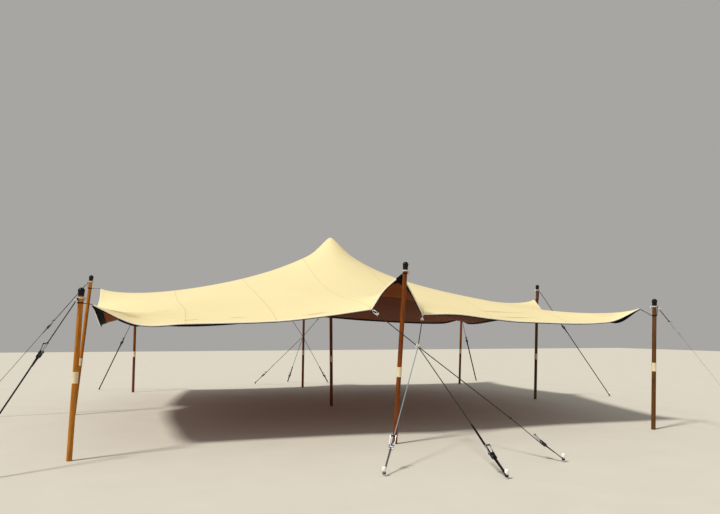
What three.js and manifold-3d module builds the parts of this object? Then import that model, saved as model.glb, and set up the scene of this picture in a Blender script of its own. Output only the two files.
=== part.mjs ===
// Stretch tent: a ten metre square of elastic fabric over one centre pole and eight edge poles.
// Millimetres, Z up. The origin is on the ground at the centre pole, and the entrance side faces -Y.
// The fabric is seven welded strips that run from front to back, and each strip is a shell of its own.
import * as THREE from 'three';
import { mergeVertices } from 'three/addons/utils/BufferGeometryUtils.js';
import Module from 'manifold-3d';

const wasm = await Module();
wasm.setup();

// Fabric
const stripCount = 7;
const stepsPerStrip = 4;
const fabricSteps = stripCount * stepsPerStrip;
const finePerStep = 6;
const archStep = 12;
const fabricSide = 10000;
const fabricThickness = 8;
const justInside = 1e-9;
const contactGap = 0.3;
const tipGap = 0.95;
const peak = { x: -50, y: 0, z: 3930 };
const patchRadius = 450;
const patchSlope = 1.07;
const patchRounding = 60;
const crownDepth = 150;
const crownRim = 92;
const crownCone = 1.2;
const crownNeck = 47;
const crownFlare = 12;
const crownUndercut = 22;
const crownLip = 12;
// the fabric is pulled tauter along the lines from the peak to the side poles, and inwards from each corner
const leftTaut = 5;
const rightTaut = 1.8;
const sideTautWidth = 0.9;
const cornerTaut = 4.3;
const cornerTautWidth = 0.8;
const relaxRounds = 900;
const relaxGain = 1.94;

// Hem: each point is a step along that side of the fabric, then its place.
// A side is cut into runs at its raised middle, so that the hem has a true corner there.
const frontHem = [
  [[0, -4480, -4500, 2060], [2, -3880, -4420, 1790], [4, -3230, -4390, 1805],
    [8, -1890, -4400, 1850], [10, -1180, -4480, 1930], [12, -440, -4620, 2040]],
  [[12, -440, -4620, 2040], [13, -250, -4680, 2340], [14, 40, -4710, 2590]],
  [[14, 40, -4710, 2590], [15, 250, -4670, 2270], [16, 430, -4620, 1970]],
  [[16, 430, -4620, 1970], [18, 1080, -4530, 1980], [20, 1760, -4430, 1915],
    [22, 2450, -4390, 1865], [26, 4090, -4420, 1870], [28, 4720, -4500, 2110]],
];
const rightHem = [
  [[0, 4720, -4500, 2110], [2, 4750, -3900, 1880], [4, 4800, -3200, 1990],
    [8, 5080, -1800, 2060], [12, 5390, -450, 2170]],
  [[12, 5390, -450, 2170], [13, 5370, -250, 2370], [14, 5400, 0, 2530]],
  [[14, 5400, 0, 2530], [15, 5370, 250, 2370], [16, 5390, 450, 2170]],
  [[16, 5390, 450, 2170], [20, 5280, 1900, 2040], [26, 5310, 3600, 1980], [28, 5400, 4400, 2150]],
];
const backHem = [
  [[0, -4600, 4400, 2100], [2, -4000, 4330, 1900], [8, -1980, 4300, 1950], [12, -300, 4550, 2200]],
  [[12, -300, 4550, 2200], [13, -60, 4600, 2420], [14, 200, 4620, 2590]],
  [[14, 200, 4620, 2590], [15, 440, 4600, 2420], [16, 680, 4550, 2200]],
  [[16, 680, 4550, 2200], [20, 2150, 4330, 2080], [26, 4650, 4330, 2000], [28, 5400, 4400, 2150]],
];
const leftHem = [
  [[0, -4480, -4500, 2060], [2, -4470, -3880, 1800], [4, -4560, -3150, 1810],
    [8, -4850, -1800, 1900], [12, -5030, -450, 2150]],
  [[12, -5030, -450, 2150], [13, -5010, -250, 2400], [14, -5040, 0, 2600]],
  [[14, -5040, 0, 2600], [15, -5010, 250, 2400], [16, -5030, 450, 2150]],
  [[16, -5030, 450, 2150], [20, -4800, 1900, 1950], [26, -4560, 3700, 1880], [28, -4600, 4400, 2100]],
];

// Poles: foot on the ground, and head at the top of the shaft, under the rubber cap.
// A tie is lashed at the height of the hem's tip, or lower where the pole has a tieDrop, and its strap
// then stops tieGap short of the tip.
const poleRadius = 36;
const poleSides = 12;
const sleeveRadius = 40;
const sleeveLength = 150;
const sleeveMiddle = 1070;
const capRadius = 46;
const capMiddle = 38;
const capSkirt = 32;
const capSkirtRadius = 41;
const capLow = -0.12 * Math.PI;
const capRings = 4;
const edgePoles = {
  front_left: { foot: [-4615, -4750], head: [-4595, -4750, 2190] },
  front: { foot: [-125, -4790], head: [60, -4830, 2690] },
  front_right: { foot: [4640, -4750], head: [4840, -4750, 2190], tieDrop: 220, tieGap: 1.8 },
  right: { foot: [5330, 0], head: [5520, 0, 2840] },
  back_right: { foot: [5400, 4580], head: [5530, 4600, 2200] },
  back: { foot: [200, 4850], head: [200, 4790, 2700] },
  back_left: { foot: [-4720, 4620], head: [-4760, 4620, 2190] },
  left: { foot: [-5420, 0], head: [-5250, 0, 2800] },
};

// Lashings, guys and stakes
const ropeRadius = 7;
const ropeSides = 6;
const fittingSides = 6;
const lashingHeight = 40;
const lashingThickness = 9;
const leastTieDrop = 100;
const tieRise = 8;
const guyDrop = 58;
const strapWidth = 30;
const strapThickness = 6;
const knotRadius = 34;
const knotSides = 10;
const knotRings = 8;
const knotSeat = 6;
const ringSeat = 3;
const shackleRadius = 12;
const fanAim = 35;
const stakeRadius = 13;
const stakeHeight = 110;
const stakeBelow = 60;
const stakeHead = 22;
const stakeHeadDepth = 40;
const stakeLean = 0.08;
const collarShare = 0.32;
const collarHalf = 14;
const collarThickness = 9;
const groundBlock = 500;
const cornerReach = 1400;
const sideReach = 2050;
const frontRing = [110, -5200, 1460];
const backRing = [230, 5080, 1560];
const fanStakes = {
  front: { left: [-900, -6640], middle: [410, -7150], right: [1570, -6560] },
  back: { left: [-1100, 6450], middle: [60, 6950], right: [1350, 6500] },
};

// Ratchet tensioners
const ratchetWidth = 56;
const ratchetPlate = 4;
const ratchetHeight = 34;
const ratchetFront = 24;
const ratchetBack = 82;
const anchorInset = 16;
const pinSeat = 1;
const boreOverrun = 5;
const spindleRadius = 9;
const spindleSides = 12;
const pinRadius = 6;
const eyeRadius = 17;
const spindleReach = 42;
const spindleClearance = 0.3;
const handleGap = 5;
const handleLength = 112;
const handleRise = 24;
const handleBar = 9;
const armDepth = 16;
// how far down its guy each ratchet sits
const fanShares = { left: 0.81, middle: 0.86, right: 0.86 };
const poleShares = {
  front_left: 0.34, front_right: 0.18, back_left: 0.34, back_right: 0.34, left: 0.34, right: 0.34,
};

const colours = {
  fabric: 0xe9d6a0,
  wood: 0xa9650f,
  rubber: 0x1d1e22,
  rope: 0x4a4238,
  strap: 0x17171a,
  steel: 0xb9bcc2,
};
const materials = {
  fabric: new THREE.MeshStandardMaterial({ color: colours.fabric, roughness: 0.75, metalness: 0 }),
  wood: new THREE.MeshStandardMaterial({ color: colours.wood, roughness: 0.35, metalness: 0 }),
  rubber: new THREE.MeshStandardMaterial({ color: colours.rubber, roughness: 0.6, metalness: 0 }),
  rope: new THREE.MeshStandardMaterial({ color: colours.rope, roughness: 0.9, metalness: 0 }),
  strap: new THREE.MeshStandardMaterial({ color: colours.strap, roughness: 0.85, metalness: 0 }),
  steel: new THREE.MeshStandardMaterial({ color: colours.steel, roughness: 0.4, metalness: 1 }),
};

const tent = new THREE.Group();
const up = new THREE.Vector3(0, 0, 1);

function vector(list) {
  return new THREE.Vector3(...list);
}

function addMesh(name, geometry, material) {
  const mesh = new THREE.Mesh(geometry, material);
  mesh.name = name;
  tent.add(mesh);
  return mesh;
}

// Booleans

const mergeTolerance = 1e-4;

function toSolid(geometry) {
  const bare = geometry.clone();
  bare.deleteAttribute('normal');
  bare.deleteAttribute('uv');
  const merged = mergeVertices(bare, mergeTolerance);
  return new wasm.Manifold(new wasm.Mesh({
    numProp: 3,
    vertProperties: new Float32Array(merged.attributes.position.array),
    triVerts: new Uint32Array(merged.index.array),
  }));
}

function toGeometry(solid) {
  const mesh = solid.getMesh();
  const geometry = new THREE.BufferGeometry();
  geometry.setAttribute('position', new THREE.BufferAttribute(new Float32Array(mesh.vertProperties), 3));
  geometry.setIndex(new THREE.BufferAttribute(new Uint32Array(mesh.triVerts), 1));
  geometry.computeVertexNormals();
  return geometry;
}

function join(geometries) {
  return geometries.map(toSolid).reduce((whole, next) => whole.add(next));
}

// A round rod between two points
function rod(from, to, radius, sides) {
  const length = from.distanceTo(to);
  const geometry = new THREE.CylinderGeometry(radius, radius, length, sides);
  geometry.rotateX(Math.PI / 2);
  const turn = new THREE.Quaternion().setFromUnitVectors(up, to.clone().sub(from).normalize());
  geometry.applyQuaternion(turn);
  const middle = from.clone().lerp(to, 0.5);
  return geometry.translate(middle.x, middle.y, middle.z);
}

function ball(centre, radius) {
  return new THREE.SphereGeometry(radius, knotSides, knotRings).translate(centre.x, centre.y, centre.z);
}

// A box whose x runs along the direction, y lies level across it and z stands out of it
function boxFrame(origin, direction) {
  const along = direction.clone().normalize();
  const across = new THREE.Vector3().crossVectors(up, along).normalize();
  const out = new THREE.Vector3().crossVectors(along, across);
  return new THREE.Matrix4().makeBasis(along, across, out).setPosition(origin);
}

function boxBetween(low, high) {
  const size = high.map((value, i) => value - low[i]);
  const geometry = new THREE.BoxGeometry(...size);
  return geometry.translate(...high.map((value, i) => (value + low[i]) / 2));
}

// What lies below the ground round a foot is cut away with this block
function groundBox(x, y) {
  const low = [x - groundBlock, y - groundBlock, -groundBlock];
  return boxBetween(low, [x + groundBlock, y + groundBlock, 0]);
}

// Hem curves: cubic pieces through the points of a run, with the slope at a point taken from its neighbours

function runPoint(run, step) {
  const last = run.length - 2;
  const k = Math.min(last, Math.max(0, run.findIndex((point) => point[0] > step) - 1));
  const i = step >= run[run.length - 1][0] ? last : k;
  const a = run[i];
  const b = run[i + 1];
  const before = run[Math.max(0, i - 1)];
  const after = run[Math.min(run.length - 1, i + 2)];
  const span = b[0] - a[0];
  const t = (step - a[0]) / span;
  return [1, 2, 3].map((c) => {
    const slopeA = ((b[c] - before[c]) / (b[0] - before[0])) * span;
    const slopeB = ((after[c] - a[c]) / (after[0] - a[0])) * span;
    const t2 = t * t;
    const t3 = t2 * t;
    return (2 * t3 - 3 * t2 + 1) * a[c] + (t3 - 2 * t2 + t) * slopeA
      + (3 * t2 - 2 * t3) * b[c] + (t3 - t2) * slopeB;
  });
}

function hemPoint(hem, step) {
  const run = hem.find((points) => step <= points[points.length - 1][0]);
  return runPoint(run, step);
}

// Fabric surface: every inner point of a fine net settles at the weighted mean of its eight neighbours,
// with the hem and the doubled patch over the centre pole held. A taut line has heavier weights along it.

const fine = fabricSteps * finePerStep;
const row = fine + 1;

// The weights of the links of point i, j: along its row, and along its two diagonals
function linkWeights(i, j) {
  const u = (i - fine / 2) / finePerStep;
  const v = (j - fine / 2) / finePerStep;
  const sideTaut = u < 0 ? leftTaut : rightTaut;
  const outwards = Math.max(Math.abs(u), Math.abs(v)) / (fabricSteps / 2);
  const bell = (away, width) => Math.exp(-((away / width) ** 2));
  return {
    along: 1 + sideTaut * bell(v, sideTautWidth),
    rising: cornerTaut * outwards ** 2 * bell(u - v, cornerTautWidth),
    falling: cornerTaut * outwards ** 2 * bell(u + v, cornerTautWidth),
  };
}

function relaxedNet() {
  const net = [0, 1, 2].map(() => new Float64Array(row * row));
  const held = new Uint8Array(row * row);
  const put = (i, j, point) => point.forEach((value, c) => {
    net[c][j * row + i] = value;
  });
  for (let n = 0; n <= fine; n += 1) {
    const step = n / finePerStep;
    put(n, 0, hemPoint(frontHem, step));
    put(n, fine, hemPoint(backHem, step));
    put(0, n, hemPoint(leftHem, step));
    put(fine, n, hemPoint(rightHem, step));
  }
  // the start is a blend of the four hems
  for (let j = 1; j < fine; j += 1) {
    for (let i = 1; i < fine; i += 1) {
      const u = i / fine;
      const v = j / fine;
      for (let c = 0; c < 3; c += 1) {
        const a = net[c];
        const sides = (1 - v) * a[i] + v * a[fine * row + i] + (1 - u) * a[j * row] + u * a[j * row + fine];
        const corners = (1 - u) * (1 - v) * a[0] + u * (1 - v) * a[fine]
          + (1 - u) * v * a[fine * row] + u * v * a[fine * row + fine];
        a[j * row + i] = sides - corners;
      }
    }
  }
  // the doubled patch over the centre pole is a cone with a round tip
  const middle = fine / 2;
  const cell = fabricSide / fine;
  for (let j = 1; j < fine; j += 1) {
    for (let i = 1; i < fine; i += 1) {
      const reach = Math.hypot(i - middle, j - middle) * cell;
      if (reach <= patchRadius) {
        held[j * row + i] = 1;
        const drop = patchSlope * (Math.hypot(reach, patchRounding) - patchRounding);
        put(i, j, [peak.x + (i - middle) * cell, peak.y + (j - middle) * cell, peak.z - drop]);
      }
    }
  }
  // points that share no link are settled one after another, in four groups
  const points = [[1, 1], [2, 1], [1, 2], [2, 2]].flatMap(([firstI, firstJ]) => {
    const group = [];
    for (let j = firstJ; j < fine; j += 2) {
      for (let i = firstI; i < fine; i += 2) {
        if (!held[j * row + i]) group.push({ p: j * row + i, ...linkWeights(i, j) });
      }
    }
    return group;
  });
  for (let round = 0; round < relaxRounds; round += 1) {
    for (const { p, along, rising, falling } of points) {
      for (const a of net) {
        const pull = along * (a[p - 1] + a[p + 1]) + a[p - row] + a[p + row]
          + rising * (a[p - row - 1] + a[p + row + 1]) + falling * (a[p - row + 1] + a[p + row - 1]);
        a[p] += relaxGain * (pull / (2 * (along + 1 + rising + falling)) - a[p]);
      }
    }
  }
  return net;
}

const net = relaxedNet();

// A point of the fabric's top face, by steps from the front left corner
function fabricPoint(stepU, stepV) {
  const fu = Math.min(stepU * finePerStep, fine - justInside);
  const fv = Math.min(stepV * finePerStep, fine - justInside);
  const i = Math.floor(fu);
  const j = Math.floor(fv);
  const a = fu - i;
  const b = fv - j;
  return net.map((values) => {
    const p = j * row + i;
    return (1 - b) * ((1 - a) * values[p] + a * values[p + 1])
      + b * ((1 - a) * values[p + row] + a * values[p + row + 1]);
  });
}

// A strip is a net of top points and the same net one thickness lower, closed round its rim
function stripGeometry(index) {
  const middle = fabricSteps / 2;
  const lines = (from, to) => {
    const list = [];
    for (let n = from; n <= to; n += 1) {
      list.push(n);
      const nearMiddle = n >= middle - 1 && n < middle + 1;
      if (nearMiddle && n < to) list.push(n + 0.5);
    }
    return list;
  };
  const us = lines(index * stepsPerStrip, (index + 1) * stepsPerStrip);
  const vs = lines(0, fabricSteps);
  const positions = [];
  for (const drop of [0, fabricThickness]) {
    for (const v of vs) {
      us.forEach((u, k) => {
        const point = fabricPoint(u, v);
        const inward = (k === 0 ? 1 : 0) - (k === us.length - 1 ? 1 : 0);
        const atHem = u === 0 || u === fabricSteps;
        positions.push(point[0] + (atHem ? 0 : inward * contactGap), point[1], point[2] - drop);
      });
    }
  }
  const wide = us.length;
  const deep = vs.length;
  const at = (i, j, layer) => layer * wide * deep + j * wide + i;
  const indices = [];
  const quad = (a, b, c, d) => indices.push(a, b, c, a, c, d);
  for (let j = 0; j < deep - 1; j += 1) {
    for (let i = 0; i < wide - 1; i += 1) {
      quad(at(i, j, 0), at(i + 1, j, 0), at(i + 1, j + 1, 0), at(i, j + 1, 0));
      quad(at(i, j, 1), at(i, j + 1, 1), at(i + 1, j + 1, 1), at(i + 1, j, 1));
    }
  }
  for (let i = 0; i < wide - 1; i += 1) {
    quad(at(i, 0, 0), at(i, 0, 1), at(i + 1, 0, 1), at(i + 1, 0, 0));
    quad(at(i, deep - 1, 0), at(i + 1, deep - 1, 0), at(i + 1, deep - 1, 1), at(i, deep - 1, 1));
  }
  for (let j = 0; j < deep - 1; j += 1) {
    quad(at(0, j, 0), at(0, j + 1, 0), at(0, j + 1, 1), at(0, j, 1));
    quad(at(wide - 1, j, 0), at(wide - 1, j, 1), at(wide - 1, j + 1, 1), at(wide - 1, j + 1, 0));
  }
  const geometry = new THREE.BufferGeometry();
  geometry.setAttribute('position', new THREE.Float32BufferAttribute(positions, 3));
  geometry.setIndex(indices);
  geometry.computeVertexNormals();
  return geometry;
}

function addFabric() {
  for (let n = 0; n < stripCount; n += 1) {
    addMesh(`canopy_strip_${n + 1}`, stripGeometry(n), materials.fabric);
  }
}

// Poles: a turned wooden shaft with a wider sleeve at waist height, and a rubber cap over the head

function poleAxis(foot, head) {
  const low = vector([foot[0], foot[1], 0]);
  const high = vector(head);
  return { low, high, direction: high.clone().sub(low).normalize(), length: low.distanceTo(high) };
}

function shaftGeometry(axis, top) {
  const sleeveLow = sleeveMiddle - sleeveLength / 2;
  const sleeveHigh = sleeveMiddle + sleeveLength / 2;
  const below = -poleRadius * 2;
  const outline = [
    [0, below], [poleRadius, below], [poleRadius, sleeveLow], [sleeveRadius, sleeveLow],
    [sleeveRadius, sleeveHigh], [poleRadius, sleeveHigh], [poleRadius, top], [0, top],
  ].map(([r, z]) => new THREE.Vector2(r, z));
  const shaft = new THREE.LatheGeometry(outline, poleSides);
  shaft.rotateX(Math.PI / 2);
  shaft.applyQuaternion(new THREE.Quaternion().setFromUnitVectors(up, axis.direction));
  shaft.translate(axis.low.x, axis.low.y, axis.low.z);
  // a leaning foot is sawn level with the ground
  const ground = groundBox(axis.low.x, axis.low.y);
  return toGeometry(toSolid(shaft).subtract(toSolid(ground)));
}

function capGeometry(axis) {
  // the cap rests on the shaft's end, and its skirt reaches down round the shaft
  const bore = poleRadius + contactGap;
  const outline = [[0, 0], [bore, 0], [bore, -capSkirt], [capSkirtRadius, -capSkirt]]
    .map(([r, z]) => new THREE.Vector2(r, z));
  for (let n = 0; n <= capRings; n += 1) {
    const angle = capLow + (n / capRings) * (Math.PI / 2 - capLow);
    outline.push(new THREE.Vector2(capRadius * Math.cos(angle), capMiddle + capRadius * Math.sin(angle)));
  }
  outline[outline.length - 1].x = 0;
  const geometry = new THREE.LatheGeometry(outline, poleSides);
  geometry.rotateX(Math.PI / 2);
  geometry.applyQuaternion(new THREE.Quaternion().setFromUnitVectors(up, axis.direction));
  const seat = axis.high.clone().addScaledVector(axis.direction, contactGap);
  return geometry.translate(seat.x, seat.y, seat.z);
}

function addPoles() {
  for (const [place, { foot, head }] of Object.entries(edgePoles)) {
    const axis = poleAxis(foot, head);
    addMesh(`pole_${place}`, shaftGeometry(axis, axis.length), materials.wood);
    addMesh(`ball_${place}`, capGeometry(axis), materials.rubber);
  }
}

// Centre pole with the mushroom crown that spreads the load into the fabric

function addCentrePole() {
  const axis = poleAxis([0, 0], [peak.x, peak.y, peak.z - fabricThickness - contactGap]);
  const shaftTop = axis.length - crownDepth - contactGap;
  addMesh('pole_centre', shaftGeometry(axis, shaftTop), materials.wood);
  const rimTop = crownDepth - crownRim * crownCone;
  const outline = [
    [0, 0], [crownNeck, 0], [crownNeck + crownFlare, rimTop - crownUndercut],
    [crownRim, rimTop - crownLip], [crownRim, rimTop], [0, crownDepth],
  ].map(([r, z]) => new THREE.Vector2(r, z));
  const crown = new THREE.LatheGeometry(outline, poleSides);
  crown.rotateX(Math.PI / 2);
  crown.applyQuaternion(new THREE.Quaternion().setFromUnitVectors(up, axis.direction));
  const base = axis.high.clone().addScaledVector(axis.direction, -crownDepth);
  crown.translate(base.x, base.y, base.z);
  addMesh('crown_centre', crown, materials.rubber);
}

// Lashings: a ring of rope or strap round a pole below its cap, with a tail that runs to its load

function lashing(axis, drop) {
  const inner = poleRadius + contactGap;
  const outer = inner + lashingThickness;
  const half = lashingHeight / 2;
  const outline = [[inner, -half], [outer, -half], [outer, half], [inner, half], [inner, -half]]
    .map(([r, z]) => new THREE.Vector2(r, z));
  const ring = new THREE.LatheGeometry(outline, poleSides);
  ring.rotateX(Math.PI / 2);
  ring.applyQuaternion(new THREE.Quaternion().setFromUnitVectors(up, axis.direction));
  const centre = axis.high.clone().addScaledVector(axis.direction, -drop);
  ring.translate(centre.x, centre.y, centre.z);
  return { ring, centre, outer };
}

function addTie(name, axis, tip, { tieDrop, tieGap = tipGap }) {
  const drop = tieDrop || Math.max(leastTieDrop, axis.high.z - tip.z - tieRise);
  const { ring, centre, outer } = lashing(axis, drop);
  const level = tip.clone().sub(centre).setZ(0).normalize();
  const start = centre.clone().addScaledVector(level, outer - lashingThickness / 2);
  const pull = tip.clone().sub(start);
  const strap = boxBetween(
    [0, -strapWidth / 2, -strapThickness / 2],
    [pull.length() - tieGap, strapWidth / 2, strapThickness / 2],
  ).applyMatrix4(boxFrame(start, pull));
  addMesh(name, toGeometry(join([ring, strap])), materials.strap);
}

// Ratchets: two side plates, a spindle and an anchor pin. x runs down the guy, z stands off it.

function ratchetFrame() {
  const half = ratchetWidth / 2;
  const high = ratchetHeight / 2;
  const parts = [-1, 1].map((side) => {
    const inner = side * (half - ratchetPlate);
    const outer = side * half;
    return boxBetween(
      [-ratchetFront, Math.min(inner, outer), -high],
      [ratchetBack, Math.max(inner, outer), high],
    );
  });
  const spindleFrom = new THREE.Vector3(0, -spindleReach, 0);
  const spindleTo = new THREE.Vector3(0, spindleReach, 0);
  parts.push(rod(spindleFrom, spindleTo, spindleRadius, spindleSides));
  const pinX = ratchetBack - anchorInset;
  const pinFrom = new THREE.Vector3(pinX, -half + pinSeat, 0);
  const pinTo = new THREE.Vector3(pinX, half - pinSeat, 0);
  parts.push(rod(pinFrom, pinTo, pinRadius, ropeSides));
  return parts;
}

function handleSolid(clearance) {
  const inner = ratchetWidth / 2 + handleGap;
  const outer = inner + ratchetPlate;
  const slope = Math.atan2(handleRise, handleLength);
  const reach = Math.hypot(handleLength, handleRise);
  const arms = [-1, 1].flatMap((side) => {
    const low = Math.min(side * inner, side * outer);
    const high = Math.max(side * inner, side * outer);
    const arm = boxBetween([-reach, low, -armDepth / 2], [0, high, armDepth / 2]).rotateY(slope);
    if (!clearance) return [arm];
    const eye = rod(new THREE.Vector3(0, low, 0), new THREE.Vector3(0, high, 0), eyeRadius, spindleSides);
    return [eye, arm];
  });
  const grip = rod(
    new THREE.Vector3(-handleLength, -outer, handleRise),
    new THREE.Vector3(-handleLength, outer, handleRise),
    handleBar,
    fittingSides,
  );
  const whole = join([...arms, grip]);
  if (!clearance) return whole;
  // the bore's flats clear the spindle's corners, so that the handle turns freely
  const boreRadius = (spindleRadius + clearance) / Math.cos(Math.PI / spindleSides);
  const bore = rod(
    new THREE.Vector3(0, -outer - boreOverrun, 0),
    new THREE.Vector3(0, outer + boreOverrun, 0),
    boreRadius,
    spindleSides,
  );
  return whole.subtract(toSolid(bore));
}

// Guys: from a loop or knot down to a steel stake, with a ratchet part of the way down

function stakeParts(foot, outward) {
  const direction = new THREE.Vector3(outward.x * stakeLean, outward.y * stakeLean, 1).normalize();
  const top = foot.clone().addScaledVector(direction, stakeHeight);
  const below = foot.clone().addScaledVector(direction, -stakeBelow);
  const collarAt = foot.clone().addScaledVector(direction, stakeHeight * collarShare);
  const headAt = top.clone().addScaledVector(direction, -stakeHeadDepth);
  return {
    collarAt,
    parts: [
      rod(below, top, stakeRadius, fittingSides),
      rod(headAt, top, stakeHead, fittingSides),
      rod(
        collarAt.clone().addScaledVector(direction, -collarHalf),
        collarAt.clone().addScaledVector(direction, collarHalf),
        stakeRadius + collarThickness,
        fittingSides,
      ),
    ],
  };
}

function addGuy(name, start, stakeFoot, share, { startParts = [], cut = null, jointed = false }) {
  const foot = vector([stakeFoot[0], stakeFoot[1], 0]);
  const outward = foot.clone().sub(start).setZ(0).normalize();
  const stake = stakeParts(foot, outward);
  const along = stake.collarAt.clone().sub(start);
  const spindle = start.clone().addScaledVector(along, share);
  const frame = boxFrame(spindle, along);
  const anchor = new THREE.Vector3(ratchetBack - anchorInset, 0, 0).applyMatrix4(frame);
  const pieces = [
    ...startParts,
    rod(start, spindle, ropeRadius, ropeSides),
    rod(anchor, stake.collarAt, ropeRadius, ropeSides),
    ...ratchetFrame().map((part) => part.applyMatrix4(frame)),
    ...stake.parts,
  ];
  let whole = join(pieces);
  if (!jointed) whole = whole.add(handleSolid(0).transform(frame.elements));
  if (cut) whole = whole.subtract(toSolid(cut));
  const ground = toSolid(groundBox(foot.x, foot.y));
  addMesh(name, toGeometry(whole.subtract(ground)), materials.rope);
  if (jointed) {
    const handle = handleSolid(spindleClearance).transform(frame.elements);
    addMesh(`handle_${name}`, toGeometry(handle), materials.steel);
  }
}

function addCornersAndSides() {
  const corners = {
    front_left: [[-1, -1], cornerReach],
    front_right: [[1, -1], cornerReach],
    back_left: [[-1, 1], cornerReach],
    back_right: [[1, 1], cornerReach],
    left: [[-1, 0], sideReach],
    right: [[1, 0], sideReach],
  };
  for (const [place, [heading, reach]] of Object.entries(corners)) {
    const { foot, head } = edgePoles[place];
    const axis = poleAxis(foot, head);
    const { ring, centre, outer } = lashing(axis, guyDrop);
    const out = vector([...heading, 0]).normalize();
    const start = centre.clone().addScaledVector(out, outer - ringSeat);
    const stakeFoot = [centre.x + out.x * reach, centre.y + out.y * reach];
    addGuy(`guy_${place}`, start, stakeFoot, poleShares[place], { startParts: [ring] });
  }
}

// Bridles: two ropes from the hem to a ring, from which three guys fan out

function addBridle(place, ringAt, corners, jointed) {
  const knot = vector(ringAt);
  const legs = corners.map((corner) => {
    const pull = knot.clone().sub(corner).normalize();
    const start = corner.clone().addScaledVector(pull, shackleRadius + contactGap);
    return [rod(start, knot, ropeRadius, ropeSides), ball(start, shackleRadius)];
  });
  addMesh(`bridle_${place}`, toGeometry(join([ball(knot, knotRadius), ...legs.flat()])), materials.rope);
  for (const [side, stakeFoot] of Object.entries(fanStakes[place])) {
    const toStake = vector([...stakeFoot, fanAim]).sub(knot).normalize();
    const start = knot.clone().addScaledVector(toStake, knotRadius - knotSeat);
    const cut = ball(knot, knotRadius + contactGap);
    addGuy(`fan_${place}_${side}`, start, stakeFoot, fanShares[side], { cut, jointed });
  }
}

function addRigging() {
  const half = fabricSteps / 2;
  const end = fabricSteps;
  const tips = {
    front_left: [0, 0], front: [half, 0], front_right: [end, 0], right: [end, half],
    back_right: [end, end], back: [half, end], back_left: [0, end], left: [0, half],
  };
  for (const [place, steps] of Object.entries(tips)) {
    const pole = edgePoles[place];
    const tip = vector(fabricPoint(...steps));
    tip.z -= fabricThickness / 2;
    addTie(`tie_${place}`, poleAxis(pole.foot, pole.head), tip, pole);
  }
  const under = (stepU, stepV) => {
    const point = vector(fabricPoint(stepU, stepV));
    point.z -= fabricThickness;
    return point;
  };
  addBridle('front', frontRing, [under(archStep, 0), under(end - archStep, 0)], true);
  addBridle('back', backRing, [under(archStep, end), under(end - archStep, end)], false);
}

addFabric();
addCentrePole();
addPoles();
addRigging();
addCornersAndSides();

export default tent;
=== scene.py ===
# Stretch tent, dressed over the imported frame. Metres, +Z up, the entrance side faces -Y.
import math

import bmesh
import bpy
import numpy as np
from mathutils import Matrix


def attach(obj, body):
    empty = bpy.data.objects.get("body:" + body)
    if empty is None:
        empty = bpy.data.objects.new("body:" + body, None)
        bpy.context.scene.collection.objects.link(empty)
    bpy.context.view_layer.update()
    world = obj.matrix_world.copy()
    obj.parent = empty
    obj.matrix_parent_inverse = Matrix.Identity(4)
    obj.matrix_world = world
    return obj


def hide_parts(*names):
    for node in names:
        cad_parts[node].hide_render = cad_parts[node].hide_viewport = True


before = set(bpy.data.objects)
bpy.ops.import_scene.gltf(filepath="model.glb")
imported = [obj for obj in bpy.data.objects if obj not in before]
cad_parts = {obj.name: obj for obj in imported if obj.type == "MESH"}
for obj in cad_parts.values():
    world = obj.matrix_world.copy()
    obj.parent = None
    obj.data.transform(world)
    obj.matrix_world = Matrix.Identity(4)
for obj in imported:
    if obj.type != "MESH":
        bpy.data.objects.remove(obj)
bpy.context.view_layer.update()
pi = math.pi
upward = np.array([0.0, 0.0, 1.0])
tiny = 1e-9

# Camera, at eye height in front of the entrance and to its left
cameraSetup = {"place": (-3.095, -13.359, 1.65), "yaw": 15.793, "pitch": 7.538, "lens": 29.0}
camera = bpy.data.objects.new("camera", bpy.data.cameras.new("camera"))
camera.location = cameraSetup["place"]
camera.rotation_euler = (
    math.radians(90 + cameraSetup["pitch"]), 0, math.radians(-cameraSetup["yaw"]))
camera.data.sensor_width = 36
camera.data.lens = cameraSetup["lens"]
camera.data.clip_end = 200
bpy.context.scene.collection.objects.link(camera)
bpy.context.scene.camera = camera
print("camera set")


# Colours and nodes

def hexColour(code):
    # sRGB hex to linear light, one channel at a time
    channels = [int(code[k:k + 2], 16) / 255 for k in (0, 2, 4)]
    return [c / 12.92 if c <= 0.04045 else ((c + 0.055) / 1.055) ** 2.4 for c in channels] + [1.0]


def addNode(tree, kind, settings=(), inputs=(), links=()):
    # one node, its settings by attribute, its values by socket, and its links as (socket, node, output)
    node = tree.nodes.new(kind)
    for key, value in dict(settings).items():
        setattr(node, key, value)
    for key, value in dict(inputs).items():
        node.inputs[key].default_value = value
    for socket, source, output in links:
        tree.links.new(source.outputs[output], node.inputs[socket])
    return node


def newMaterial(name, values):
    material = bpy.data.materials.new(name)
    material.use_nodes = True
    tree = material.node_tree
    tree.nodes.clear()
    output = tree.nodes.new("ShaderNodeOutputMaterial")
    shader = tree.nodes.new("ShaderNodeBsdfPrincipled")
    for key, value in values.items():
        shader.inputs[key].default_value = value
    tree.links.new(shader.outputs["BSDF"], output.inputs["Surface"])
    material.diffuse_color = values.get("Base Color", (0.5, 0.5, 0.5, 1))
    return material, tree, shader


# Surfaces

def unit(v):
    v = np.asarray(v, float)
    return v / np.maximum(np.linalg.norm(v, axis=-1, keepdims=True), tiny)


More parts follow.
